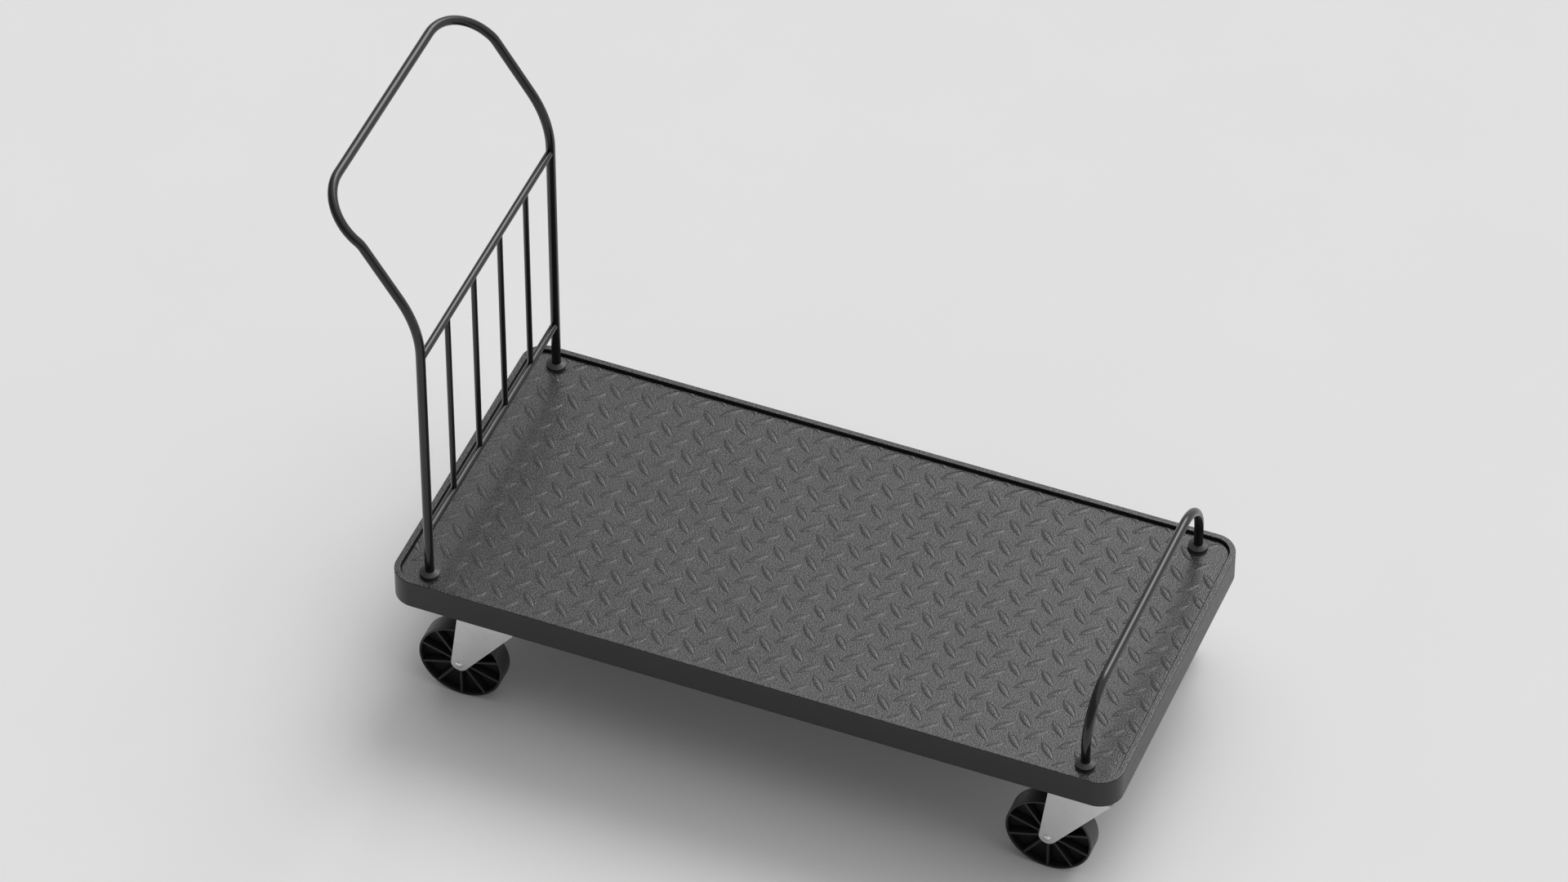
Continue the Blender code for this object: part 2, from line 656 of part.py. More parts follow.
def tyre_mesh():
    """The smooth tread ring, with a facet flat on the floor."""
    inner = WHEEL_RADIUS - TYRE_THICKNESS
    half = WHEEL_WIDTH / 2
    profile = [
        (inner, -half),
        (WHEEL_RADIUS - TYRE_EDGE, -half),
        (WHEEL_RADIUS, TYRE_EDGE - half),
        (WHEEL_RADIUS, half - TYRE_EDGE),
        (WHEEL_RADIUS - TYRE_EDGE, half),
        (inner, half),
    ]
    return turned_mesh("tyre", profile, TYRE_SIDES, phase=math.pi / TYRE_SIDES, axis="Y")


def bush_mesh():
    """The plain bush in the hub, on which the wheel turns."""
    bore = (AXLE_RADIUS + AXLE_CLEARANCE) / math.cos(math.pi / BUSH_SIDES)
    half = BUSH_LENGTH / 2
    profile = [(bore, -half), (BUSH_RADIUS, -half), (BUSH_RADIUS, half), (bore, half)]
    return turned_mesh("bush", profile, BUSH_SIDES, axis="Y")


def axle_bolt_mesh(outward):
    """The axle bolt, with its domed head on the cart's outer side; outward is +1 or -1 along Y."""
    face = FORK_OUTSIDE_WIDTH / 2 + GAP
    tip = face + AXLE_NUT_HEIGHT + AXLE_TIP
    profile = [
        (AXLE_RADIUS, -tip * outward),
        (AXLE_RADIUS, face * outward),
        (AXLE_HEAD_RADIUS, face * outward),
        (AXLE_HEAD_RADIUS, (face + AXLE_HEAD_HEIGHT * 0.3) * outward),
        (AXLE_HEAD_RADIUS * 0.75, (face + AXLE_HEAD_HEIGHT * 0.8) * outward),
        (AXLE_HEAD_RADIUS * 0.3, (face + AXLE_HEAD_HEIGHT) * outward),
    ]
    return turned_mesh("axle_bolt", profile, PIN_SIDES, closed=False, axis="Y")


def axle_nut_mesh(outward):
    """The hexagonal nut on the axle bolt's inner end."""
    start = FORK_OUTSIDE_WIDTH / 2 + GAP
    low, high = sorted((-start * outward, -(start + AXLE_NUT_HEIGHT) * outward))
    nut = turned_mesh("axle_nut", [(AXLE_NUT_RADIUS, low), (AXLE_NUT_RADIUS, high)], HEX_SIDES,
                      closed=False, axis="Y")
    hole = round_cutter(AXLE_RADIUS + AXLE_CLEARANCE, low - CUT_MARGIN, high + CUT_MARGIN, axis="Y")
    return cut_mesh(nut, [hole])


def build_casters(materials):
    """Four alike casters, their wheels trailing towards the handle."""
    top_plate, bearing, kingpin = top_plate_mesh(), bearing_mesh(), kingpin_mesh()
    fork, wheel, tyre, bush = fork_mesh(), wheel_mesh(), tyre_mesh(), bush_mesh()
    bolts = {side: axle_bolt_mesh(side) for side in (1, -1)}
    nuts = {side: axle_nut_mesh(side) for side in (1, -1)}
    for name, end, side in CASTERS:
        prefix = f"caster_{name}"
        axle_x = DECK_X + end * WHEEL_X
        swivel_at = (axle_x + CASTER_TRAIL, side * CASTER_Y, 0.0)
        add_object(f"{prefix}_top_plate", top_plate, materials["zinc"], swivel_at)
        add_object(f"{prefix}_kingpin", kingpin, materials["bright_steel"], swivel_at)

        swivel = add_empty(f"{prefix}_swivel_axis", swivel_at)
        at_axle = (-CASTER_TRAIL, 0.0, 0.0)
        add_object(f"{prefix}_bearing", bearing, materials["bearing_steel"], parent=swivel)
        add_object(f"{prefix}_fork", fork, materials["zinc"], at_axle, swivel)

        axle = add_empty(f"{prefix}_axle_axis", (-CASTER_TRAIL, 0.0, AXLE_Z), swivel)
        add_object(f"{prefix}_axle_bolt", bolts[side], materials["bright_steel"], parent=axle)
        add_object(f"{prefix}_axle_nut", nuts[side], materials["bright_steel"], parent=axle)
        add_object(f"{prefix}_wheel", wheel, materials["wheel_plastic"], parent=axle)
        add_object(f"{prefix}_tyre", tyre, materials["tyre_rubber"], parent=axle)
        add_object(f"{prefix}_bush", bush, materials["bush_plastic"], parent=axle)


# ---------------------------------------------------------------- the cart


def main():
    for item in list(bpy.data.objects):
        bpy.data.objects.remove(item, do_unlink=True)
    materials = {name: make_material(name, *recipe) for name, recipe in MATERIAL_RECIPES.items()}
    build_rim(materials["rim_coat"])
    build_plate(materials["deck_coat"])
    build_underframe(materials["frame_coat"])
    build_handle(materials["tube_coat"])
    build_hoop(materials["tube_coat"])
    build_feet(materials["collar_coat"], materials["bright_steel"])
    build_casters(materials)


main()
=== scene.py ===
import math

import bmesh
import bpy
from mathutils import Matrix, Vector


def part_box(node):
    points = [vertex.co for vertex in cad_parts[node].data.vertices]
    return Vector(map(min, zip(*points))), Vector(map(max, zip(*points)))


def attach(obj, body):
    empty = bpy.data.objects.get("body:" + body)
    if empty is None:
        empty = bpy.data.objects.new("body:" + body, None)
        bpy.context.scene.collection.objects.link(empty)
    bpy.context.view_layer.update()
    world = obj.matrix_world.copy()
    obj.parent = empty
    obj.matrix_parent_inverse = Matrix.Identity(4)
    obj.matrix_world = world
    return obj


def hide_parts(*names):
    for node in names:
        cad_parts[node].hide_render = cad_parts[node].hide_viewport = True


# The looks of the flat-bed luggage cart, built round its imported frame.
# Units are metres and radians, and +Z is up.  The handle is at -X and the hoop at +X; left is +Y.

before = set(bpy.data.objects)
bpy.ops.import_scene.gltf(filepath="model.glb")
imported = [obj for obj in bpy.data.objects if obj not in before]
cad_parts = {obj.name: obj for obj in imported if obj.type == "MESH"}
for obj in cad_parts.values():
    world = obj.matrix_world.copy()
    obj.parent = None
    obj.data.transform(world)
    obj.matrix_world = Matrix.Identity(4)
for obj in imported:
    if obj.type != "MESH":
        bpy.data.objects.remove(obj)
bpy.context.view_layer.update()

# ---------------------------------------------------------------- sizes that the frame doesn't give

# Tubes
TUBE_RADIUS = 0.008
RAIL_RADIUS = 0.0065
BAR_RADIUS = 0.005
BAR_COUNT = 4
RAIL_END = TUBE_RADIUS * 0.9    # a rail stops this far from the middle of the tube that it meets
BAR_END = RAIL_RADIUS * 0.5     # and a bar this far from the middle of its rail
HANDLE_BEND_HEIGHT = 0.552      # above the rim's top
HANDLE_BEND_RADIUS = 0.205
HANDLE_LEAN = math.radians(33.0)
HANDLE_LEAN_LENGTH = 0.1755
GRIP_BEND_RADIUS = 0.040
GRIP_LEAN = math.radians(53.4)
GRIP_LEAN_LENGTH = 0.0935
GRIP_CORNER_RADIUS = 0.085
HOOP_CORNER_RADIUS = 0.084

# Deck
CORNER_RADIUS = 0.041
LIP_WIDTH = 0.010
LIP_EDGE_RADIUS = 0.0016
LIP_INNER_EDGE_RADIUS = 0.0004
FACING_UP = 0.7                 # the rim's faces whose normals rise more than this carry the deck's lighter coat and grain, painted light on the lip's top, while the walls keep the darker rim coat as painted shade
SKIRT_THICKNESS = 0.003
SKIRT_EDGE_RADIUS = 0.0006
PLATE_EDGE_RADIUS = 0.0005
PLATE_EDGE_MIDDLE = 0.3         # share of that radius, in and down, where the edge's middle lies
SEAM_WIDTH = 0.0022             # the groove between plate and lip, painted dark as shade
SEAM_DEPTH = 0.0020

# Tread pattern of the deck plate: lens-shaped lugs in two families, at right angles to each other
LUG_PITCH_X = 0.0564
LUG_PITCH_Y = 0.0500
LUG_START_X = -0.1746           # the middle of one lug of the first family, from the deck's centre
LUG_START_Y = 0.1435
LUG_RANGE_X = range(-12, 20)    # more rows than the deck has room for
LUG_RANGE_Y = range(-12, 8)
LUG_LENGTH = 0.044
LUG_WIDTH = 0.0145
LUG_HEIGHT = 0.0008
LUG_SINK = 0.0003
LUG_COLUMNS = 12                # sections along each lug
LUG_TIP = 0.35                  # share of a column's step that is left off either tip
LUG_FADE = 0.6                  # power by which the height falls to the tips
# A lug's section, across its width: share of the width, and share of its height there
LUG_SECTION = ((0.00, 0.00), (0.10, 0.30), (0.22, 0.78), (0.34, 0.96), (0.50, 1.00), (0.66, 0.96),
               (0.78, 0.78), (0.90, 0.30), (1.00, 0.00))
LUG_SIDE_STRIPS = 2             # strips of the section that are its sloping side, at either edge
LUG_EDGE_GAP = 0.0032           # from the plate's edge to the nearest lug
LUG_OVERHANG = LUG_LENGTH / 4   # a lug whose middle lies further past the edge than this is left out
LUG_CORNER_REACH = LUG_LENGTH * 0.36        # how far a lug reaches along X and along Y from its middle
# The lugs' looks: the plate's coat on the crown, a darker copy painted on the first family's outer sides as
# shade, and a duller copy on the other sides.
LUG_LOOKS = ("deck_coat", "lug_side_painted_shade", "lug_side")
LUG_PAINTED_SHADE_SIDE, LUG_SIDE = 1, 2  # places in LUG_LOOKS
LUG_SMOOTH_ANGLE = math.radians(60.0)

# Underframe and the tubes' feet
CHANNEL_THICKNESS = 0.003
CHANNEL_BEND_RADIUS = 0.004
CHANNEL_EDGE_RADIUS = CHANNEL_THICKNESS * 0.12
COLLAR_WALL = 0.006
COLLAR_EDGE_RADIUS = 0.0006
COLLAR_CLEARANCE = 0.0001
WASHER_RADIUS = 0.0095
WASHER_THICKNESS = 0.0012
FOOT_BOLT_RADIUS = 0.0075

# Casters: wheel
TYRE_THICKNESS = 0.0026
TYRE_EDGE_RADIUS = 0.0020
TYRE_INNER_EDGE_RADIUS = 0.0003
RING_THICKNESS = 0.0014
WEB_THICKNESS = 0.005
CORE_INSET = 0.001              # from the tyre's side in to the core's face
# The core's edges, from the bore outwards
CORE_EDGE_RADII = (0.0002, 0.0004, 0.0002, 0.0008, 0.0015, 0.0015, 0.0005, 0.0003)
RIB_COUNT = 10
RIB_THICKNESS = 0.0046
RIB_EDGE = 0.0006
RIB_SINK_HUB = 0.002            # how far a rib runs into the hub
RIB_SINK_RING = 0.001           # and into the ring
HUB_RADIUS = 0.018
HUB_BOSS_RADIUS = 0.015
RECESS_MARGIN_HUB = 0.001       # the cells' darker colour, painted in as shade, reaches this far into the hub
RECESS_MARGIN_RING = 0.0005     # this far into the ring
RECESS_MARGIN_FACE = 0.0008     # and stops this far below the core's face
BUSH_RADIUS = 0.009
BUSH_EDGE_RADIUS = 0.0003

# Casters: axle
AXLE_RADIUS = 0.005
AXLE_CLEARANCE = 0.0003
AXLE_TIP = 0.0073               # from the fork's cheek to the bolt's plain end
AXLE_CHAMFER = 0.0006
AXLE_HEAD_RADIUS = 0.0065
AXLE_HEAD_RIM = 0.0010          # the straight side below the head's dome
AXLE_DOME_HEIGHT = 0.0033
AXLE_DOME_STEPS = 8
AXLE_NUT_RADIUS = 0.0085
AXLE_NUT_HEIGHT = 0.0053

# Casters: fork
FORK_THICKNESS = 0.0025
FORK_CROWN_THICKNESS = 0.004
FORK_BEND_RADIUS = 0.005
FORK_INNER_RADIUS = 0.001
FORK_FOOT_RADIUS = 0.0147
FORK_REAR_LEAN = math.radians(7.3)
FORK_FRONT_LEAN = math.radians(37.8)
FORK_EDGE = 0.0003
FORK_FOOT_STEPS = 14
FORK_BEND_STEPS = 8
FORK_LEVELS = (0.0015, 0.004, 0.010, 0.030, 0.060, 0.090)       # edge loops of the cheeks, above the axle

# Casters: swivel head, mounting plate, kingpin and fixing bolts
RACE_BORE_CLEARANCE = 0.001
RACE_SHOULDER = 0.003           # how far the races' ends are drawn in
RACE_TAPER = 0.0058             # height of the taper at either end
RACE_SEAM_HALF = 0.0006
RACE_SEAM_DEPTH = 0.002
RACE_EDGE_RADII = (0, 0.001, 0.0015, 0.0004, 0)                 # from either end to the seam
TOP_PLATE_CORNER = 0.008
TOP_PLATE_EDGE = 0.0004
KINGPIN_RADIUS = 0.006
KINGPIN_CHAMFER = 0.0008
KINGPIN_NUT_RADIUS = 0.0105
KINGPIN_NUT_HEIGHT = 0.008
FIXING_X = 0.040                # from the swivel axis
FIXING_Y = 0.023
FIXING_HEAD_RADIUS = 0.0068
FIXING_HEAD_HEIGHT = 0.0042
FIXING_WASHER_RADIUS = WASHER_RADIUS - 0.001

# Facets of round shapes
TUBE_SIDES = 32
BAR_SIDES = 24
CAD_TUBE_SIDES = 12             # the CAD's tubes are faceted, so they stand a little lower than round ones
COLLAR_SIDES = 64
WHEEL_SIDES = 120
RACE_SIDES = 72
PIN_SIDES = 40
HEX_SIDES = 6
HEX_SIDE_STEPS = 4              # points along each side of a hexagonal head
HEX_CHAMFER = 0.12              # share of a head's height
HEX_FACE = 0.97                 # a head's face, as a share of its width over flats
CORNER_STEPS = 16
PLATE_CORNER_STEPS = 8
BEND_STEP = math.radians(3.0)
EDGE_STEPS = 5
TYRE_EDGE_STEPS = 6
FINE_STEPS = 3                  # in the small edges of wheels, bushes and races
SMOOTH_ANGLE = math.radians(32.0)
BEVEL_ANGLE = math.radians(40.0)
HOLDING_MARGIN = 0.0004         # from a rounded edge to the line that keeps the flat side beside it flat

CASTERS = ("rear_left", "rear_right", "front_left", "front_right")

# ---------------------------------------------------------------- camera and light

CAMERA_LENS = 190.82            # mm, on a sensor 36 mm wide
CAMERA_SENSOR = 36.0
CAMERA_NEAR, CAMERA_FAR = 0.1, 200.0
CAMERA_AT = (3.5923038, -8.86715, 9.94274)
CAMERA_TURN = 0.384608364       # about +Z, from -Y towards +X
CAMERA_HEIGHT = 0.778890593     # above the floor plane
CAMERA_ROLL = -0.000998

SURROUND = (1.0, 0.250)         # grey and strength
# Name, direction towards the light, width in degrees, and strength
SOFT_LIGHTS = (("key", (0.375, 0.66, 0.64), 130.0, 1.60),
               ("core", (0.207, 0.66, 0.722), 40.0, 0.85),
               ("back", (0.02, 0.66, 0.72), 30.0, 0.65))
FLOOR_HALF_WIDTH = 40.0
FLOOR_SEGMENTS = 8


def add_camera():
    """The photograph's viewing angle, from a long way off with a long lens."""
    data = bpy.data.cameras.new("camera")
    data.sensor_width = CAMERA_SENSOR
    data.lens = CAMERA_LENS
    data.clip_start = CAMERA_NEAR
    data.clip_end = CAMERA_FAR
    camera = bpy.data.objects.new("camera", data)
    bpy.context.scene.collection.objects.link(camera)
    turn = Matrix.Rotation(CAMERA_TURN, 4, "Z") @ Matrix.Rotation(math.pi / 2 - CAMERA_HEIGHT, 4, "X")
    camera.matrix_world = Matrix.Translation(CAMERA_AT) @ turn @ Matrix.Rotation(CAMERA_ROLL, 4, "Z")
    bpy.context.scene.camera = camera


def add_soft_light(name, direction, width, strength):
    """A very wide, even light from a direction, like a large cloth-covered studio window."""
    data = bpy.data.lights.new(name, "SUN")
    data.angle = math.radians(width)
    data.energy = strength
    light = bpy.data.objects.new(name, data)
    bpy.context.scene.collection.objects.link(light)
    light.rotation_euler = Vector(direction).to_track_quat("Z", "Y").to_euler()


def add_world(grey, strength):
    """An even pale surround."""
    world = bpy.data.worlds.new("studio")
    world.use_nodes = True
    background = world.node_tree.nodes["Background"]
    background.inputs["Color"].default_value = (grey, grey, grey, 1.0)
    background.inputs["Strength"].default_value = strength
    bpy.context.scene.world = world


# ---------------------------------------------------------------- materials

NOISE_LOW, NOISE_HIGH = 0.3, 0.7            # a noise's middle range
MIX_FIRST, MIX_SECOND, MIX_RESULT = 6, 7, 2     # the Mix node's sockets for colours


class Recipe:
    """A material's node tree, built up one node at a time on a Principled shader."""

    def __init__(self, name):
        self.material = bpy.data.materials.new(name)
        self.material.use_nodes = True
        self.nodes = self.material.node_tree.nodes
        self.links = self.material.node_tree.links
        self.shader = self.nodes["Principled BSDF"]
        self.place = self.nodes.new("ShaderNodeTexCoord").outputs["Object"]

    def noise(self, scale, detail=3.0, roughness=0.55, stretch=None):
        """A noise pattern in the piece's own coordinates; scale is in cells per metre."""
        node = self.nodes.new("ShaderNodeTexNoise")
        node.inputs["Scale"].default_value = scale
        node.inputs["Detail"].default_value = detail
        node.inputs["Roughness"].default_value = roughness
        source = self.place
        if stretch is not None:
            mapping = self.nodes.new("ShaderNodeMapping")
            mapping.inputs["Scale"].default_value = stretch
            self.links.new(source, mapping.inputs["Vector"])
            source = mapping.outputs["Vector"]
        self.links.new(source, node.inputs["Vector"])
        return node.outputs["Fac"]

    def ramp(self, factor, stops):
        """Greys along a factor; stops are (position, grey)."""
        node = self.nodes.new("ShaderNodeValToRGB")
        first, last = node.color_ramp.elements
        for element, (position, grey) in ((first, stops[0]), (last, stops[-1])):
            element.position = position
            element.color = (grey, grey, grey, 1.0)
        for position, grey in stops[1:-1]:
            node.color_ramp.elements.new(position).color = (grey, grey, grey, 1.0)
        self.links.new(factor, node.inputs["Fac"])
        return node.outputs["Color"]

    def spread(self, factor, low, high):
        """Map a noise's middle range to numbers from low to high."""
        node = self.nodes.new("ShaderNodeMapRange")
        node.inputs["From Min"].default_value = NOISE_LOW
        node.inputs["From Max"].default_value = NOISE_HIGH
        node.inputs["To Min"].default_value = low
        node.inputs["To Max"].default_value = high
        self.links.new(factor, node.inputs["Value"])
        return node.outputs["Result"]

    def multiply(self, first, second):
        """Multiply two colours."""
        node = self.nodes.new("ShaderNodeMix")
        node.data_type = "RGBA"
        node.blend_type = "MULTIPLY"
        node.inputs["Factor"].default_value = 1.0
        self.links.new(first, node.inputs[MIX_FIRST])
        self.links.new(second, node.inputs[MIX_SECOND])
        return node.outputs[MIX_RESULT]

    def bump(self, factor, depth, strength):
        """Raise the surface by a factor; depth is in metres."""
        node = self.nodes.new("ShaderNodeBump")
        node.inputs["Distance"].default_value = depth
        node.inputs["Strength"].default_value = strength
        self.links.new(factor, node.inputs["Height"])
        self.links.new(node.outputs["Normal"], self.shader.inputs["Normal"])

    def colour(self, output):
        self.links.new(output, self.shader.inputs["Base Color"])

    def rough(self, output):
        self.links.new(output, self.shader.inputs["Roughness"])

    def gloss(self, level):
        self.shader.inputs["Specular IOR Level"].default_value = level


def painted(name, tone, contrast, flecks, grain, rough, gloss=0.5):
    """Powder coat: slow changes of tone, fine flecks (scale, amount) and orange-peel grain (scale, depth)."""
    recipe = Recipe(name)
    slow = recipe.noise(scale=9.0)
    slow_tones = recipe.ramp(slow, [(0.30, tone * (1 - contrast)), (0.70, tone * (1 + contrast))])
    spots = recipe.noise(flecks[0], detail=3.0, roughness=0.65)
    fleck_tones = recipe.ramp(spots, [(0.36, 1 - flecks[1]), (0.50, 1.0), (0.64, 1 + 1.3 * flecks[1])])
    recipe.colour(recipe.multiply(slow_tones, fleck_tones))
    recipe.rough(recipe.spread(recipe.noise(scale=60.0), *rough))
    recipe.bump(recipe.noise(grain[0], detail=2.0), depth=grain[1], strength=1.0)
    recipe.gloss(gloss)
    return recipe.material


def zinc_plated(name, tone, rough, metal):
    """Zinc-plated pressed steel: soft cloudy tone, fine rolling lines and faint scuffs."""
    recipe = Recipe(name)
    cloud = recipe.ramp(recipe.noise(scale=55.0, detail=4.0), [(0.30, tone * 0.975), (0.70, tone * 1.02)])
    rolling = recipe.noise(scale=700.0, detail=3.0, stretch=(0.5, 1.0, 1.0))
    recipe.colour(recipe.multiply(cloud, recipe.ramp(rolling, [(0.25, 0.95), (0.75, 1.05)])))
    recipe.rough(recipe.spread(recipe.noise(scale=120.0, detail=4.0), *rough))
    recipe.bump(recipe.noise(scale=900.0, detail=2.0), depth=0.00004, strength=0.6)
    recipe.shader.inputs["Metallic"].default_value = metal
    return recipe.material


def moulded(name, tone, rough, grain, gloss=0.5):
    """Moulded plastic or rubber: fine grain (scale, depth), faint dust and uneven gloss."""
    recipe = Recipe(name)
    dust = recipe.noise(scale=70.0, detail=5.0, roughness=0.65)
    recipe.colour(recipe.ramp(dust, [(0.35, tone), (0.60, tone * 1.15), (0.80, tone * 1.6)]))
    recipe.rough(recipe.spread(recipe.noise(scale=150.0), *rough))
    recipe.bump(recipe.noise(grain[0], detail=2.0), depth=grain[1], strength=0.8)
    recipe.gloss(gloss)
    return recipe.material


def floor_material():
    """Plain pale studio floor with the faintest mottling."""
    recipe = Recipe("floor_pale")
    recipe.colour(recipe.ramp(recipe.noise(scale=3.0), [(0.2, 0.785), (0.8, 0.800)]))
    recipe.rough(recipe.spread(recipe.noise(scale=8.0), 0.85, 0.95))
    recipe.bump(recipe.noise(scale=400.0, detail=2.0), depth=0.0001, strength=0.2)
    recipe.gloss(0.1)
    return recipe.material


MATERIALS = {
    # The rim's walls: darker than the deck's coat that the rim's top carries, painted shade chosen by which
    # way the faces point.
    "rim_coat": painted("rim_coat_look", tone=0.018, contrast=0.05, flecks=(1100.0, 0.25),
                        grain=(900.0, 0.00008), rough=(0.34, 0.40), gloss=0.40),
    "deck_coat": painted("deck_coat_look", tone=0.041, contrast=0.10, flecks=(420.0, 0.90),
                         grain=(430.0, 0.00040), rough=(0.14, 0.20), gloss=0.42),
    # A darker copy of the deck's coat, painted on the outer sides of one family of lugs as shade.
    "lug_side_painted_shade": painted("lug_side_dark_look", tone=0.024, contrast=0.10, flecks=(420.0, 0.70),
                             grain=(430.0, 0.00040), rough=(0.40, 0.50), gloss=0.20),
    "lug_side": painted("lug_side_look", tone=0.041, contrast=0.10, flecks=(420.0, 0.90),
                        grain=(430.0, 0.00045), rough=(0.26, 0.34), gloss=0.36),
    "frame_coat": painted("frame_coat_look", tone=0.030, contrast=0.10, flecks=(1100.0, 0.40),
                          grain=(700.0, 0.00015), rough=(0.50, 0.60)),
    "tube_coat": painted("tube_coat_look", tone=0.008, contrast=0.08, flecks=(1500.0, 0.30),
                         grain=(1300.0, 0.00003), rough=(0.14, 0.19)),
    "collar_coat": painted("collar_coat_look", tone=0.034, contrast=0.08, flecks=(1500.0, 0.30),
                           grain=(1200.0, 0.00005), rough=(0.30, 0.36)),
    "zinc": zinc_plated("zinc_look", tone=0.77, rough=(0.44, 0.50), metal=0.75),
    "bearing_steel": zinc_plated("bearing_steel_look", tone=0.32, rough=(0.30, 0.42), metal=1.0),
    "bright_steel": zinc_plated("bright_steel_look", tone=0.88, rough=(0.12, 0.20), metal=1.0),
    "wheel_plastic": moulded("wheel_plastic_look", tone=0.014, rough=(0.42, 0.55), grain=(1100.0, 0.00006)),
    # A darker, duller copy of the wheel's plastic, painted in the wheels' cells and the deck's seam as shade.
    "recess_painted_shade": moulded("wheel_recess_look", tone=0.009, rough=(0.60, 0.75), grain=(900.0, 0.00008),
                            gloss=0.30),
    "tyre_rubber": moulded("tyre_rubber_look", tone=0.028, rough=(0.40, 0.50), grain=(1300.0, 0.00008)),
    "bush_plastic": moulded("bush_plastic_look", tone=0.180, rough=(0.35, 0.45), grain=(1200.0, 0.00004)),
}

# ---------------------------------------------------------------- mesh tools


def shaded(mesh, smooth_angle=SMOOTH_ANGLE):
    """The mesh with its round surfaces smooth and its edges sharp."""
    mesh.shade_smooth()
    mesh.set_sharp_from_angle(angle=smooth_angle)
    return mesh


def finish_mesh(name, bm, smooth_angle=SMOOTH_ANGLE):
    """Turn a bmesh into a shaded mesh with its faces pointing out."""
    bmesh.ops.recalc_face_normals(bm, faces=bm.faces)
    mesh = bpy.data.meshes.new(name)
    bm.to_mesh(mesh)
    bm.free()
    return shaded(mesh, smooth_angle)


def give_looks(mesh, looks):
    """Give a mesh its materials by name."""
    for look in looks:
        mesh.materials.append(MATERIALS[look])


def add_piece(name, mesh, slot, body, nodes=(), place=(0.0, 0.0, 0.0)):
    """Show a mesh in a slot's material, riding on a body, in place of the CAD nodes it stands for."""
    piece = bpy.data.objects.new(name, mesh)
    bpy.context.scene.collection.objects.link(piece)
    if not mesh.materials:
        mesh.materials.append(MATERIALS[slot])
    piece.location = place
    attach(piece, body)
    if nodes:
        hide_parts(*nodes)
    return piece


def bridge_rings(bm, rings, closed):
    """Join neighbouring rings of vertices with quads; closed also joins the last ring to the first."""
    pairs = list(zip(rings, rings[1:]))
    if closed:
        pairs.append((rings[-1], rings[0]))
    for lower, upper in pairs:
        count = len(lower)
        for i in range(count):
            j = (i + 1) % count
            bm.faces.new((lower[i], lower[j], upper[j], upper[i]))


def capped_rings(bm, rings):
    """Bridge the rings and close both ends."""
    bridge_rings(bm, rings, closed=False)
    bm.faces.new(rings[0])
    bm.faces.new(rings[-1])


def arc_points(before, corner, after, radius, steps=None):
    """Points of the arc that rounds a corner between two neighbours."""
    back = (before - corner).normalized()
    onward = (after - corner).normalized()
    half = back.angle(onward) / 2
    centre = corner + (back + onward).normalized() * (radius / math.sin(half))
    start = corner + back * (radius / math.tan(half)) - centre
    end = corner + onward * (radius / math.tan(half)) - centre
    sweep = start.angle(end)
    steps = steps or max(2, math.ceil(sweep / BEND_STEP))
    points = []
    for step in range(steps + 1):
        share = step / steps
        first = math.sin((1 - share) * sweep) / math.sin(sweep)
        second = math.sin(share * sweep) / math.sin(sweep)
        points.append(centre + start * first + end * second)
    return points


def rounded_profile(corners, radii, steps=EDGE_STEPS):
    """A closed flat profile with an arc at each corner; radius 0 keeps the corner sharp."""
    corners = [Vector(corner) for corner in corners]
    points = []
    for i, radius in enumerate(radii):
        if radius == 0:
            points.append(tuple(corners[i]))
            continue
        after = corners[(i + 1) % len(corners)]
        points += [tuple(point) for point in arc_points(corners[i - 1], corners[i], after, radius, steps)]
    return points


def with_holding_lines(profile):
    """A closed profile with two more points near the ends of each long side, so that the side shades flat."""
    points = []
    for start, end in zip(profile, [*profile[1:], profile[0]]):
        points.append(tuple(start))
        side = Vector(end) - Vector(start)
        if side.length > HOLDING_MARGIN * 4:
            inset = side.normalized() * HOLDING_MARGIN
            points += [tuple(Vector(start) + inset), tuple(Vector(end) - inset)]
    return points


def ring_at(bm, polar, height, axis):
    """A ring of vertices from (angle, radius) points about Z or Y."""
    ring = []
    for angle, radius in polar:
        across, along = radius * math.cos(angle), radius * math.sin(angle)
        ring.append(bm.verts.new((across, along, height) if axis == "Z" else (across, height, along)))
    return ring


def turned_bmesh(profile, sides, phase=0.0, closed=True, axis="Z"):
    """Turn a profile of (radius, height) points about Z or Y."""
    bm = bmesh.new()
    angles = [phase + math.tau * i / sides for i in range(sides)]
    rings = [ring_at(bm, [(angle, radius) for angle in angles], height, axis) for radius, height in profile]
    if closed:
        bridge_rings(bm, rings, closed=True)
    else:
        capped_rings(bm, rings)
    return bm


def turned_mesh(name, profile, sides, phase=0.0, closed=True, axis="Z"):
    return finish_mesh(name, turned_bmesh(profile, sides, phase, closed, axis))


def rounded_outline(length, width, radius, steps=CORNER_STEPS):
    """Points of a rectangle with round corners, centred on the origin, anticlockwise."""
    points = []
    for side_x, side_y, start in ((1, 1, 0.0), (-1, 1, 0.5), (-1, -1, 1.0), (1, -1, 1.5)):
        centre_x = side_x * (length / 2 - radius)
        centre_y = side_y * (width / 2 - radius)
        for step in range(steps + 1):
            angle = math.pi * start + math.pi / 2 * step / steps
            points.append((centre_x + radius * math.cos(angle), centre_y + radius * math.sin(angle)))
    return points


def outline_rings(bm, sections, length, width, radius, steps=CORNER_STEPS):
    """Rings of a rounded rectangle, one for each (inset, height)."""
    rings = []
    for inset, height in sections:
        outline = rounded_outline(length - 2 * inset, width - 2 * inset, radius - inset, steps)
        rings.append([bm.verts.new((x, y, height)) for x, y in outline])
    return rings


def filleted_path(corners, radii):
    """A path through the corners, with an arc of the given radius at each inner corner."""
    corners = [Vector(corner) for corner in corners]
    path = [corners[0]]
    for before, corner, after, radius in zip(corners, corners[1:], corners[2:], radii):
        path += arc_points(before, corner, after, radius)
    return [*path, corners[-1]]


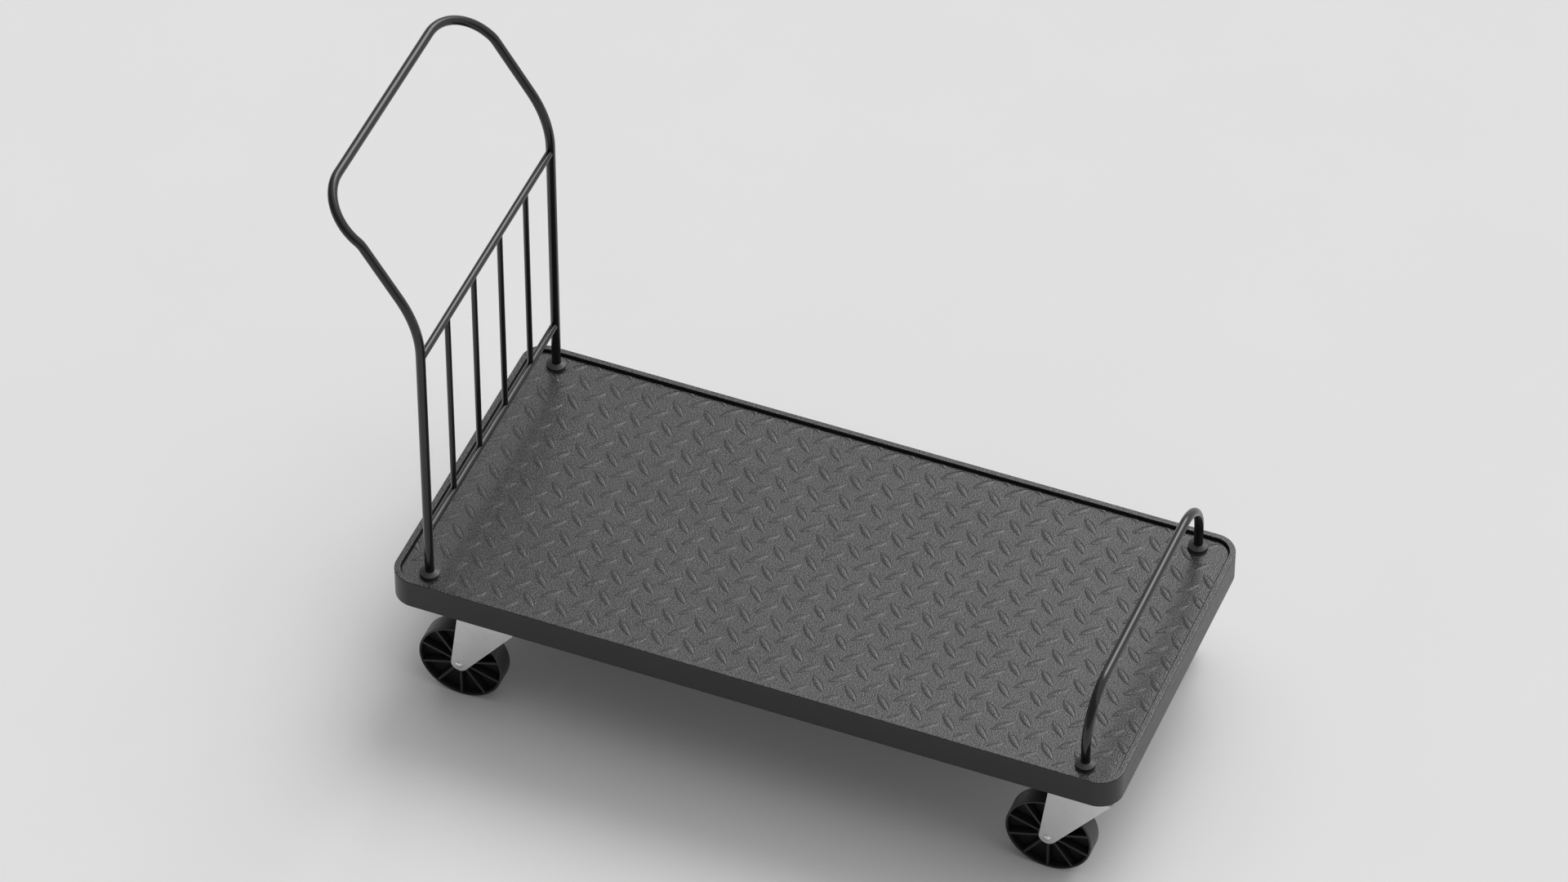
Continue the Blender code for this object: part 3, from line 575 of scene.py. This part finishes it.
def swept_mesh(name, path, radius, sides):
    """A round bar along a path, with flat ends."""
    bm = bmesh.new()
    directions = [(after - before).normalized() for before, after in zip(path, path[1:])]
    normal = directions[0].orthogonal().normalized()
    rings = []
    for i, point in enumerate(path):
        before = directions[max(i - 1, 0)]
        after = directions[min(i, len(directions) - 1)]
        tangent = (before + after).normalized()
        normal = (normal - before * normal.dot(before)).normalized()
        side = before.cross(normal)
        ring = []
        for k in range(sides):
            angle = math.tau * k / sides
            offset = (normal * math.cos(angle) + side * math.sin(angle)) * radius
            offset -= before * (offset.dot(tangent) / before.dot(tangent))
            ring.append(bm.verts.new(point + offset))
        rings.append(ring)
        normal = (normal - after * normal.dot(after)).normalized()
    capped_rings(bm, rings)
    return finish_mesh(name, bm)


def hex_head_bmesh(radius, low, high, axis="Z"):
    """A hexagonal head or nut whose corners are turned down at both faces."""
    flat = radius * math.cos(math.pi / HEX_SIDES)
    drop = (high - low) * HEX_CHAMFER
    sides = HEX_SIDES * HEX_SIDE_STEPS
    bm = bmesh.new()
    rings = []
    for face, level in ((True, low), (False, low + drop), (False, high - drop), (True, high)):
        polar = []
        for i in range(sides):
            angle = math.tau * i / sides
            turn = (angle + math.pi / HEX_SIDES) % (math.tau / HEX_SIDES) - math.pi / HEX_SIDES
            polar.append((angle, flat * HEX_FACE if face else flat / math.cos(turn)))
        rings.append(ring_at(bm, polar, level, axis))
    capped_rings(bm, rings)
    return bm


def washer_bmesh(radius, top):
    return turned_bmesh([(radius, top - WASHER_THICKNESS), (radius, top)], PIN_SIDES, closed=False)


def joined(name, parts):
    """One mesh from several bmeshes."""
    whole = bmesh.new()
    for part in parts:
        bmesh.ops.recalc_face_normals(part, faces=part.faces)
        scrap = bpy.data.meshes.new("scrap")
        part.to_mesh(scrap)
        part.free()
        whole.from_mesh(scrap)
        bpy.data.meshes.remove(scrap)
    mesh = bpy.data.meshes.new(name)
    whole.to_mesh(mesh)
    whole.free()
    return shaded(mesh)


def modified(mesh, add):
    """The mesh with modifiers applied; add puts them on a scrap object and returns its helpers."""
    name = mesh.name
    work = bpy.data.objects.new("work", mesh)
    bpy.context.scene.collection.objects.link(work)
    helpers = add(work)
    result = bpy.data.meshes.new_from_object(work.evaluated_get(bpy.context.evaluated_depsgraph_get()))
    for item in (work, *helpers):
        bpy.data.objects.remove(item, do_unlink=True)
    bpy.data.meshes.remove(mesh)
    result.name = name
    return shaded(result)


def united(first, second):
    """The union of two closed meshes."""
    def add(work):
        other = bpy.data.objects.new("other", second)
        bpy.context.scene.collection.objects.link(other)
        union = work.modifiers.new("union", "BOOLEAN")
        union.operation = "UNION"
        union.solver = "EXACT"
        union.object = other
        return [other]
    return modified(first, add)


def bevelled(mesh, width):
    """The mesh with its sharp edges rounded."""
    def add(work):
        bevel = work.modifiers.new("bevel", "BEVEL")
        bevel.width = width
        bevel.segments = 2
        bevel.limit_method = "ANGLE"
        bevel.angle_limit = BEVEL_ANGLE
        bevel.use_clamp_overlap = True
        return []
    return modified(mesh, add)


def middle_of(node):
    """The middle of a CAD node's box."""
    low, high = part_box(node)
    return (low + high) / 2


# ---------------------------------------------------------------- deck

RIM_LOW, RIM_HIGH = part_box("deck_rim")
PLATE_LOW, PLATE_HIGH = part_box("deck_plate")
DECK_X = (RIM_LOW.x + RIM_HIGH.x) / 2
DECK_AT = (DECK_X, 0.0, 0.0)
DECK_LENGTH = RIM_HIGH.x - RIM_LOW.x
DECK_WIDTH = RIM_HIGH.y - RIM_LOW.y
PLATE_LENGTH = PLATE_HIGH.x - PLATE_LOW.x
PLATE_WIDTH = PLATE_HIGH.y - PLATE_LOW.y


def build_rim():
    """The folded edge: a deep skirt with a raised lip round the plate."""
    top, bottom, shelf = RIM_HIGH.z, RIM_LOW.z, PLATE_LOW.z
    corners = [(0.0, bottom), (0.0, top), (LIP_WIDTH, top), (LIP_WIDTH, shelf), (SKIRT_THICKNESS, shelf),
               (SKIRT_THICKNESS, bottom)]
    radii = [SKIRT_EDGE_RADIUS, LIP_EDGE_RADIUS, LIP_INNER_EDGE_RADIUS, 0, 0, SKIRT_EDGE_RADIUS]
    sections = with_holding_lines(rounded_profile(corners, radii))
    bm = bmesh.new()
    bridge_rings(bm, outline_rings(bm, sections, DECK_LENGTH, DECK_WIDTH, CORNER_RADIUS), closed=True)
    mesh = finish_mesh("rim_shell", bm)
    give_looks(mesh, ("rim_coat", "deck_coat"))
    # Upward faces take the deck's lighter coat and grain and the walls the darker rim coat: one sheet painted
    # lighter on top and darker on its sides.
    for face in mesh.polygons:
        face.material_index = int(face.normal.z > FACING_UP)
    add_piece("rim_shell", mesh, "rim_coat", "chassis", ["deck_rim"], DECK_AT)


def build_plate():
    """The flat sheet that carries the tread, stepped in at the seam round it."""
    top, edge = PLATE_HIGH.z, PLATE_EDGE_RADIUS
    sections = ((0.0, PLATE_LOW.z),
                (0.0, top - SEAM_DEPTH),
                (SEAM_WIDTH, top - SEAM_DEPTH),
                (SEAM_WIDTH, top - edge),
                (SEAM_WIDTH + edge * PLATE_EDGE_MIDDLE, top - edge * PLATE_EDGE_MIDDLE),
                (SEAM_WIDTH + edge, top),
                (SEAM_WIDTH + edge + HOLDING_MARGIN, top))
    corner = CORNER_RADIUS - (DECK_LENGTH - PLATE_LENGTH) / 2
    bm = bmesh.new()
    capped_rings(bm, outline_rings(bm, sections, PLATE_LENGTH, PLATE_WIDTH, corner))
    mesh = finish_mesh("plate_sheet", bm)
    # The seam's faces take the wheels' recess look: a darker, duller colour painted in the groove as shade.
    give_looks(mesh, ("deck_coat", "recess_painted_shade"))
    for face in mesh.polygons:
        face.material_index = int(PLATE_LOW.z < face.center.z < top - edge)
    add_piece("plate_sheet", mesh, "deck_coat", "chassis", ["deck_plate"], DECK_AT)


def lug_section(along):
    """Points (across, height) of a lug's section at a distance along it from its middle."""
    half_length, half_width = LUG_LENGTH / 2, LUG_WIDTH / 2
    radius = (half_length ** 2 + half_width ** 2) / (2 * half_width)
    edge = math.sqrt(radius ** 2 - along ** 2) - (radius - half_width)
    fade = (1 - (along / half_length) ** 2) ** LUG_FADE
    return [(edge * (1 - 2 * share), LUG_HEIGHT * fade * height) for share, height in LUG_SECTION]


def add_lug(bm, centre_x, centre_y, turn, outer_look):
    """One raised lug, sunk a little into the plate: its crown has the plate's coat and its sides a duller
    one, and outer_look may paint the outer side darker as shade.
    """
    spin = Matrix.Rotation(turn, 2)
    top = []
    for column in range(LUG_COLUMNS + 1):
        along = -LUG_LENGTH / 2 * math.cos(math.pi * (column + LUG_TIP) / (LUG_COLUMNS + 2 * LUG_TIP))
        line = []
        for across, height in lug_section(along):
            x, y = spin @ Vector((along, across))
            line.append(bm.verts.new((centre_x + x, centre_y + y, PLATE_HIGH.z + height)))
        top.append(line)
    strips = len(LUG_SECTION) - 1
    for first, second in zip(top, top[1:]):
        for k in range(strips):
            face = bm.faces.new((first[k], second[k], second[k + 1], first[k + 1]))
            if k < LUG_SIDE_STRIPS:
                face.material_index = outer_look
            elif k >= strips - LUG_SIDE_STRIPS:
                face.material_index = LUG_SIDE
    edge = [line[0] for line in top] + top[-1][1:-1] + [line[-1] for line in reversed(top)] + top[0][-2:0:-1]
    foot = [bm.verts.new((vert.co.x, vert.co.y, PLATE_HIGH.z - LUG_SINK)) for vert in edge]
    bridge_rings(bm, [foot, edge], closed=False)
    bm.faces.new(foot)


def past_corner(x, y, half_length, half_width, radius):
    """Whether a lug centred there would reach past the plate's round corner."""
    over_x = abs(x) + LUG_CORNER_REACH - (half_length - radius)
    over_y = abs(y) + LUG_CORNER_REACH - (half_width - radius)
    return over_x > 0 and over_y > 0 and math.hypot(over_x, over_y) > radius


def build_tread():
    """All the lugs of the tread, trimmed along the plate's straight edges."""
    half_length = PLATE_LENGTH / 2 - LUG_EDGE_GAP
    half_width = PLATE_WIDTH / 2 - LUG_EDGE_GAP
    radius = CORNER_RADIUS - LIP_WIDTH - LUG_EDGE_GAP
    bm = bmesh.new()
    # The first family's outer sides are painted darker as shade; the second family's are not.
    for shift, turn, outer_look in ((0.0, -math.pi / 4, LUG_PAINTED_SHADE_SIDE), (0.5, math.pi / 4, LUG_SIDE)):
        for i in LUG_RANGE_X:
            for j in LUG_RANGE_Y:
                x = LUG_START_X + (i + shift) * LUG_PITCH_X
                y = LUG_START_Y + (j + shift) * LUG_PITCH_Y
                if abs(x) > half_length + LUG_OVERHANG or abs(y) > half_width + LUG_OVERHANG:
                    continue
                if not past_corner(x, y, half_length, half_width, radius):
                    add_lug(bm, x, y, turn, outer_look)
    for place, out in (((half_length, 0, 0), (1, 0, 0)), ((-half_length, 0, 0), (-1, 0, 0)),
                       ((0, half_width, 0), (0, 1, 0)), ((0, -half_width, 0), (0, -1, 0))):
        geometry = bm.verts[:] + bm.edges[:] + bm.faces[:]
        bmesh.ops.bisect_plane(bm, geom=geometry, plane_co=place, plane_no=out, clear_outer=True)
        loose = [edge for edge in bm.edges if edge.is_boundary]
        bmesh.ops.holes_fill(bm, edges=loose, sides=0)
    mesh = finish_mesh("tread_lugs", bm, LUG_SMOOTH_ANGLE)
    give_looks(mesh, LUG_LOOKS)
    add_piece("tread_lugs", mesh, "deck_coat", "chassis", place=DECK_AT)


# ---------------------------------------------------------------- underframe


def channel_profile(width, low, high):
    """Section of a folded U channel, open at the top."""
    half, thick = width / 2, CHANNEL_THICKNESS
    outer, inner, edge = CHANNEL_BEND_RADIUS, CHANNEL_BEND_RADIUS - thick, CHANNEL_EDGE_RADIUS
    corners = [(-half, low), (half, low), (half, high), (half - thick, high), (half - thick, low + thick),
               (thick - half, low + thick), (thick - half, high), (-half, high)]
    return rounded_profile(corners, [outer, outer, edge, edge, inner, inner, edge, edge])


def build_channel(node, axis):
    """A channel that fills a CAD channel's box and runs along X or Y."""
    low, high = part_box(node)
    middle = (low + high) / 2
    size = high - low
    width, reach = (size.y, size.x / 2) if axis == "X" else (size.x, size.y / 2)
    profile = channel_profile(width, low.z, high.z)
    bm = bmesh.new()
    rings = []
    for along in (-reach, reach):
        places = [(along, across, z) if axis == "X" else (across, along, z) for across, z in profile]
        rings.append([bm.verts.new(place) for place in places])
    capped_rings(bm, rings)
    name = f"{node}_channel"
    add_piece(name, finish_mesh(name, bm), "frame_coat", "chassis", [node], (middle.x, middle.y, 0.0))


def build_underframe():
    """The channels below the deck."""
    for node in ("bolster_rear", "bolster_front", "crossmember_rear", "crossmember_front"):
        build_channel(node, "Y")
    for node in ("side_rail_left", "side_rail_right"):
        build_channel(node, "X")


# ---------------------------------------------------------------- handle and hoop


def build_handle():
    """The push handle's tube, its two rails and its bars."""
    upper, lower = middle_of("handle_upper_rail"), middle_of("handle_lower_rail")
    post_x = lower.x
    post_y = middle_of("collar_handle_left").y
    foot_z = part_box("handle_tube")[0].z
    bend_z = RIM_HIGH.z + HANDLE_BEND_HEIGHT
    knee_x = post_x - HANDLE_LEAN_LENGTH * math.sin(HANDLE_LEAN)
    knee_z = bend_z + HANDLE_LEAN_LENGTH * math.cos(HANDLE_LEAN)
    grip_x = knee_x - GRIP_LEAN_LENGTH * math.sin(GRIP_LEAN)
    grip_z = knee_z + GRIP_LEAN_LENGTH * math.cos(GRIP_LEAN)
    run = [(post_x, foot_z), (post_x, bend_z), (knee_x, knee_z), (grip_x, grip_z)]
    corners = [(x, -post_y, z) for x, z in run] + [(x, post_y, z) for x, z in reversed(run)]
    radii = [HANDLE_BEND_RADIUS, GRIP_BEND_RADIUS, GRIP_CORNER_RADIUS]
    tube = swept_mesh("handle_pipe", filleted_path(corners, radii + radii[::-1]), TUBE_RADIUS, TUBE_SIDES)
    add_piece("handle_pipe", tube, "tube_coat", "chassis", ["handle_tube"])

    reach = post_y - RAIL_END
    ends = [Vector((0.0, -reach, 0.0)), Vector((0.0, reach, 0.0))]
    for level, at in (("upper", upper), ("lower", lower)):
        rod = swept_mesh(f"{level}_rail_rod", ends, RAIL_RADIUS, TUBE_SIDES)
        add_piece(f"{level}_rail_rod", rod, "tube_coat", "chassis", [f"handle_{level}_rail"], tuple(at))

    ends = [Vector((0.0, 0.0, lower.z + BAR_END)), Vector((0.0, 0.0, upper.z - BAR_END))]
    for number in range(1, BAR_COUNT + 1):
        at = middle_of(f"handle_bar_{number}")
        rod = swept_mesh(f"bar_rod_{number}", ends, BAR_RADIUS, BAR_SIDES)
        place = (at.x, at.y, 0.0)
        add_piece(f"bar_rod_{number}", rod, "tube_coat", "chassis", [f"handle_bar_{number}"], place)


def build_hoop():
    """The low hoop at the deck's other end."""
    low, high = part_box("hoop_tube")
    post_y = middle_of("collar_hoop_left").y
    top_z = high.z - TUBE_RADIUS * math.cos(math.pi / CAD_TUBE_SIDES)
    corners = [(0.0, -post_y, low.z), (0.0, -post_y, top_z), (0.0, post_y, top_z), (0.0, post_y, low.z)]
    pipe = swept_mesh("hoop_pipe", filleted_path(corners, [HOOP_CORNER_RADIUS] * 2), TUBE_RADIUS, TUBE_SIDES)
    add_piece("hoop_pipe", pipe, "tube_coat", "chassis", ["hoop_tube"], (middle_of("hoop_tube").x, 0.0, 0.0))


def build_feet():
    """A turned collar and a washered bolt at each tube's foot."""
    low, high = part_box("collar_hoop_left")
    radius = (high.x - low.x) / 2
    bore = TUBE_RADIUS + COLLAR_CLEARANCE
    corners = [(bore, low.z), (radius, low.z), (radius, low.z + COLLAR_WALL), (bore, high.z)]
    profile = with_holding_lines(rounded_profile(corners, [0, COLLAR_EDGE_RADIUS / 2, COLLAR_EDGE_RADIUS, 0]))
    collar = turned_mesh("collar_ring", profile, COLLAR_SIDES)
    bolt_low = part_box("foot_bolt_hoop_left")[0].z
    head = hex_head_bmesh(FOOT_BOLT_RADIUS, bolt_low, PLATE_LOW.z - WASHER_THICKNESS)
    bolt = joined("foot_bolt_head", [washer_bmesh(WASHER_RADIUS, PLATE_LOW.z), head])
    for name in ("handle_left", "handle_right", "hoop_left", "hoop_right"):
        at = middle_of(f"collar_{name}")
        place = (at.x, at.y, 0.0)
        add_piece(f"collar_ring_{name}", collar, "collar_coat", "chassis", [f"collar_{name}"], place)
        add_piece(f"foot_bolt_head_{name}", bolt, "bright_steel", "chassis", [f"foot_bolt_{name}"], place)


# ---------------------------------------------------------------- casters
# The fork and wheel meshes are made about the axle, with x towards the swivel axis.  The others are made
# about the swivel axis, at their height above the floor.

TYRE_LOW, TYRE_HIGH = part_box("caster_front_left_tyre")
FORK_LOW, FORK_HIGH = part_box("caster_front_left_fork")
AXLE_AT = (TYRE_LOW + TYRE_HIGH) / 2
SWIVEL_X = middle_of("caster_front_left_bearing").x - AXLE_AT.x
WHEEL_RADIUS = (TYRE_HIGH.z - TYRE_LOW.z) / 2
HALF_WIDTH = (TYRE_HIGH.y - TYRE_LOW.y) / 2
CORE_FACE = HALF_WIDTH - CORE_INSET
FORK_HALF = (FORK_HIGH.y - FORK_LOW.y) / 2


def fork_edges(height):
    """The fork's rear and front edge at a height above the axle."""
    foot = FORK_FOOT_RADIUS
    circle = math.sqrt(max(foot ** 2 - height ** 2, 0.0))
    rear = -circle
    if height > foot * math.sin(FORK_REAR_LEAN):
        rear = -foot / math.cos(FORK_REAR_LEAN) + height * math.tan(FORK_REAR_LEAN)
    front = circle
    if height > -foot * math.sin(FORK_FRONT_LEAN):
        front = foot / math.cos(FORK_FRONT_LEAN) + height * math.tan(FORK_FRONT_LEAN)
    return rear, front


def fork_mesh():
    """A bent steel fork: two tapered cheeks with round feet, and a crown over the wheel."""
    top = FORK_HIGH.z - AXLE_AT.z
    inner_half = FORK_HALF - FORK_THICKNESS
    levels = [-FORK_FOOT_RADIUS * math.cos(math.pi / 2 * step / FORK_FOOT_STEPS)
              for step in range(1, FORK_FOOT_STEPS + 1)]
    levels += FORK_LEVELS
    outer = [(FORK_HALF, z) for z in levels]
    inner = [(inner_half, z) for z in levels]
    for step in range(FORK_BEND_STEPS + 1):
        angle = math.pi / 2 * step / FORK_BEND_STEPS
        outer.append((FORK_HALF - FORK_BEND_RADIUS * (1 - math.cos(angle)),
                      top - FORK_BEND_RADIUS * (1 - math.sin(angle))))
        inner.append((inner_half - FORK_INNER_RADIUS * (1 - math.cos(angle)),
                      top - FORK_CROWN_THICKNESS - FORK_INNER_RADIUS * (1 - math.sin(angle))))
    outer += [(-y, z) for y, z in reversed(outer)]
    inner += [(-y, z) for y, z in reversed(inner)]
    bm = bmesh.new()
    rings = []
    for (outer_y, outer_z), (inner_y, inner_z) in zip(outer, inner):
        outer_rear, outer_front = fork_edges(outer_z)
        inner_rear, inner_front = fork_edges(inner_z)
        rings.append([bm.verts.new(place) for place in (
            (outer_rear, outer_y, outer_z), (outer_front, outer_y, outer_z),
            (inner_front, inner_y, inner_z), (inner_rear, inner_y, inner_z))])
    capped_rings(bm, rings)
    return bevelled(finish_mesh("fork_cheeks", bm), FORK_EDGE)


def rib_bmesh(angle, inner, outer):
    """One rib, as wide as the core, with rounded long edges."""
    half = RIB_THICKNESS / 2
    corners = [(-half, -CORE_FACE), (half, -CORE_FACE), (half, CORE_FACE), (-half, CORE_FACE)]
    section = rounded_profile(corners, [RIB_EDGE] * 4, FINE_STEPS)
    along = Vector((math.cos(angle), 0.0, math.sin(angle)))
    across = Vector((-math.sin(angle), 0.0, math.cos(angle)))
    bm = bmesh.new()
    rings = []
    for radius in (inner, outer):
        rings.append([bm.verts.new(along * radius + across * sideways + Vector((0.0, depth, 0.0)))
                      for sideways, depth in section])
    capped_rings(bm, rings)
    return bm


def core_mesh():
    """The wheel's core: hub, web and ring turned in one, with ribs joining them and the cells between painted
    darker as shade.
    """
    ring_outer = WHEEL_RADIUS - TYRE_THICKNESS
    ring_inner = ring_outer - RING_THICKNESS
    hub_low, hub_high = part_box("caster_front_left_wheel")
    hub_face = (hub_high.y - hub_low.y) / 2
    web = WEB_THICKNESS / 2
    half = [(BUSH_RADIUS, hub_face), (HUB_BOSS_RADIUS, hub_face), (HUB_BOSS_RADIUS, CORE_FACE),
            (HUB_RADIUS, CORE_FACE), (HUB_RADIUS, web), (ring_inner, web), (ring_inner, CORE_FACE),
            (ring_outer, CORE_FACE)]
    corners = half + [(radius, -height) for radius, height in reversed(half)]
    radii = CORE_EDGE_RADII + CORE_EDGE_RADII[::-1]
    profile = with_holding_lines(rounded_profile(corners, radii, FINE_STEPS))
    core = turned_mesh("wheel_core", profile, WHEEL_SIDES, axis="Y")
    ribs = []
    for number in range(RIB_COUNT):
        angle = -math.pi / 2 + math.tau * number / RIB_COUNT
        ribs.append(rib_bmesh(angle, HUB_RADIUS - RIB_SINK_HUB, ring_inner + RIB_SINK_RING))
    mesh = united(core, joined("ribs", ribs))
    mesh.materials.clear()
    give_looks(mesh, ("wheel_plastic", "recess_painted_shade"))
    # Faces deep in the cells between the ribs take the darker look, painted in as shade.
    for face in mesh.polygons:
        reach = math.hypot(face.center.x, face.center.z)
        between = HUB_RADIUS - RECESS_MARGIN_HUB < reach < ring_inner + RECESS_MARGIN_RING
        face.material_index = int(between and abs(face.center.y) < CORE_FACE - RECESS_MARGIN_FACE)
    return mesh


def tyre_mesh():
    """The tread ring, with rounded shoulders."""
    inner = WHEEL_RADIUS - TYRE_THICKNESS
    corners = [(inner, -HALF_WIDTH), (WHEEL_RADIUS, -HALF_WIDTH), (WHEEL_RADIUS, HALF_WIDTH),
               (inner, HALF_WIDTH)]
    radii = [TYRE_INNER_EDGE_RADIUS, TYRE_EDGE_RADIUS, TYRE_EDGE_RADIUS, TYRE_INNER_EDGE_RADIUS]
    profile = with_holding_lines(rounded_profile(corners, radii, TYRE_EDGE_STEPS))
    return turned_mesh("tyre_tread", profile, WHEEL_SIDES, axis="Y", phase=math.pi / WHEEL_SIDES)


def bush_mesh():
    """The plain sleeve in the hub."""
    low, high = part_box("caster_front_left_bush")
    half = (high.y - low.y) / 2
    bore = AXLE_RADIUS + AXLE_CLEARANCE
    corners = [(bore, -half), (BUSH_RADIUS, -half), (BUSH_RADIUS, half), (bore, half)]
    profile = rounded_profile(corners, [0, BUSH_EDGE_RADIUS, BUSH_EDGE_RADIUS, 0], FINE_STEPS)
    return turned_mesh("bush_sleeve", profile, PIN_SIDES, axis="Y")


def axle_bolt_mesh(outward):
    """The axle bolt: a low domed head on the cart's outer side and a plain end inside."""
    face = FORK_HALF
    tip = face + AXLE_TIP
    rim = face + AXLE_HEAD_RIM
    profile = [(AXLE_RADIUS - AXLE_CHAMFER, -tip), (AXLE_RADIUS, -tip + AXLE_CHAMFER), (AXLE_RADIUS, face),
               (AXLE_HEAD_RADIUS, face), (AXLE_HEAD_RADIUS, rim)]
    for step in range(1, AXLE_DOME_STEPS + 1):
        angle = math.pi / 2 * step / (AXLE_DOME_STEPS + 0.5)
        profile.append((AXLE_HEAD_RADIUS * math.cos(angle), rim + AXLE_DOME_HEIGHT * math.sin(angle)))
    return turned_mesh("axle_pin", [(r, y * outward) for r, y in profile], PIN_SIDES, closed=False, axis="Y")


def axle_nut_mesh(outward):
    """The nut on the axle's inner side."""
    low, high = sorted((-FORK_HALF * outward, -(FORK_HALF + AXLE_NUT_HEIGHT) * outward))
    return finish_mesh("axle_hex", hex_head_bmesh(AXLE_NUT_RADIUS, low, high, "Y"))


def bearing_mesh():
    """The swivel head: two dished races with a dark seam between them."""
    low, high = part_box("caster_front_left_bearing")
    radius = (high.x - low.x) / 2
    middle = (low.z + high.z) / 2
    bore = KINGPIN_RADIUS + RACE_BORE_CLEARANCE
    seam_low, seam_high = middle - RACE_SEAM_HALF, middle + RACE_SEAM_HALF
    corners = [(bore, low.z), (radius - RACE_SHOULDER, low.z), (radius, low.z + RACE_TAPER),
               (radius, seam_low), (radius - RACE_SEAM_DEPTH, seam_low),
               (radius - RACE_SEAM_DEPTH, seam_high), (radius, seam_high),
               (radius, high.z - RACE_TAPER), (radius - RACE_SHOULDER, high.z), (bore, high.z)]
    profile = rounded_profile(corners, RACE_EDGE_RADII + RACE_EDGE_RADII[::-1], FINE_STEPS)
    return turned_mesh("swivel_head", with_holding_lines(profile), RACE_SIDES)


def top_plate_mesh():
    """The mounting plate with rounded corners and softened edges."""
    low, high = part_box("caster_front_left_top_plate")
    edge = TOP_PLATE_EDGE
    sections = ((edge, low.z), (0.0, low.z + edge), (0.0, high.z - edge), (edge, high.z))
    bm = bmesh.new()
    capped_rings(bm, outline_rings(bm, sections, high.x - low.x, high.y - low.y, TOP_PLATE_CORNER,
                                   PLATE_CORNER_STEPS))
    return finish_mesh("mount_plate", bm)


def fixing_bolts_mesh():
    """Four hex heads with washers, up against the mounting plate."""
    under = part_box("caster_front_left_top_plate")[0].z
    head_top = under - WASHER_THICKNESS
    parts = []
    for side_x in (-1, 1):
        for side_y in (-1, 1):
            washer = washer_bmesh(FIXING_WASHER_RADIUS, under)
            head = hex_head_bmesh(FIXING_HEAD_RADIUS, head_top - FIXING_HEAD_HEIGHT, head_top)
            for part in (washer, head):
                bmesh.ops.translate(part, verts=part.verts, vec=(side_x * FIXING_X, side_y * FIXING_Y, 0.0))
                parts.append(part)
    return joined("fixing_bolts", parts)


def kingpin_mesh():
    """The kingpin's shank and its nut under the crown."""
    low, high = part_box("caster_front_left_kingpin")
    nut_top = FORK_HIGH.z - FORK_CROWN_THICKNESS
    nut = hex_head_bmesh(KINGPIN_NUT_RADIUS, nut_top - KINGPIN_NUT_HEIGHT, nut_top)
    shank = turned_bmesh([(KINGPIN_RADIUS - KINGPIN_CHAMFER, low.z),
                          (KINGPIN_RADIUS, low.z + KINGPIN_CHAMFER),
                          (KINGPIN_RADIUS, high.z)], PIN_SIDES, closed=False)
    return joined("king_pin", [nut, shank])


def build_casters():
    """Four alike casters."""
    top_plate, fixings, kingpin = top_plate_mesh(), fixing_bolts_mesh(), kingpin_mesh()
    bearing, fork, core, tyre, bush = bearing_mesh(), fork_mesh(), core_mesh(), tyre_mesh(), bush_mesh()
    bolts = {side: axle_bolt_mesh(side) for side in (1, -1)}
    nuts = {side: axle_nut_mesh(side) for side in (1, -1)}
    for name in CASTERS:
        side = 1 if name.endswith("left") else -1
        middle = middle_of(f"caster_{name}_tyre")
        axle = tuple(middle)
        swivel = (middle.x + SWIVEL_X, middle.y, 0.0)
        # Piece, mesh, slot, body, CAD node and place
        for piece, mesh, slot, body, node, place in (
                ("mount_plate", top_plate, "zinc", "chassis", "top_plate", swivel),
                ("fixing_bolts", fixings, "bright_steel", "chassis", None, swivel),
                ("king_pin", kingpin, "bright_steel", "chassis", "kingpin", swivel),
                ("swivel_head", bearing, "bearing_steel", f"swivel_{name}", "bearing", swivel),
                ("fork_cheeks", fork, "zinc", f"swivel_{name}", "fork", axle),
                ("axle_pin", bolts[side], "bright_steel", f"swivel_{name}", "axle_bolt", axle),
                ("axle_hex", nuts[side], "bright_steel", f"swivel_{name}", "axle_nut", axle),
                ("wheel_core", core, "wheel_plastic", f"wheel_{name}", "wheel", axle),
                ("tyre_tread", tyre, "tyre_rubber", f"wheel_{name}", "tyre", axle),
                ("bush_sleeve", bush, "bush_plastic", f"wheel_{name}", "bush", axle)):
            nodes = [f"caster_{name}_{node}"] if node else []
            add_piece(f"{piece}_{name}", mesh, slot, body, nodes, place)


# ---------------------------------------------------------------- the scene


def add_floor():
    """A wide, plain, pale floor at the wheels' feet."""
    bm = bmesh.new()
    bmesh.ops.create_grid(bm, x_segments=FLOOR_SEGMENTS, y_segments=FLOOR_SEGMENTS, size=FLOOR_HALF_WIDTH)
    mesh = bpy.data.meshes.new("studio_floor")
    bm.to_mesh(mesh)
    bm.free()
    mesh.materials.append(floor_material())
    floor = bpy.data.objects.new("studio_floor", mesh)
    bpy.context.scene.collection.objects.link(floor)


bpy.context.scene.view_settings.view_transform = "Standard"
add_camera()
add_world(*SURROUND)
for soft_light in SOFT_LIGHTS:
    add_soft_light(*soft_light)
add_floor()
build_rim()
build_plate()
build_tread()
build_underframe()
build_handle()
build_hoop()
build_feet()
build_casters()
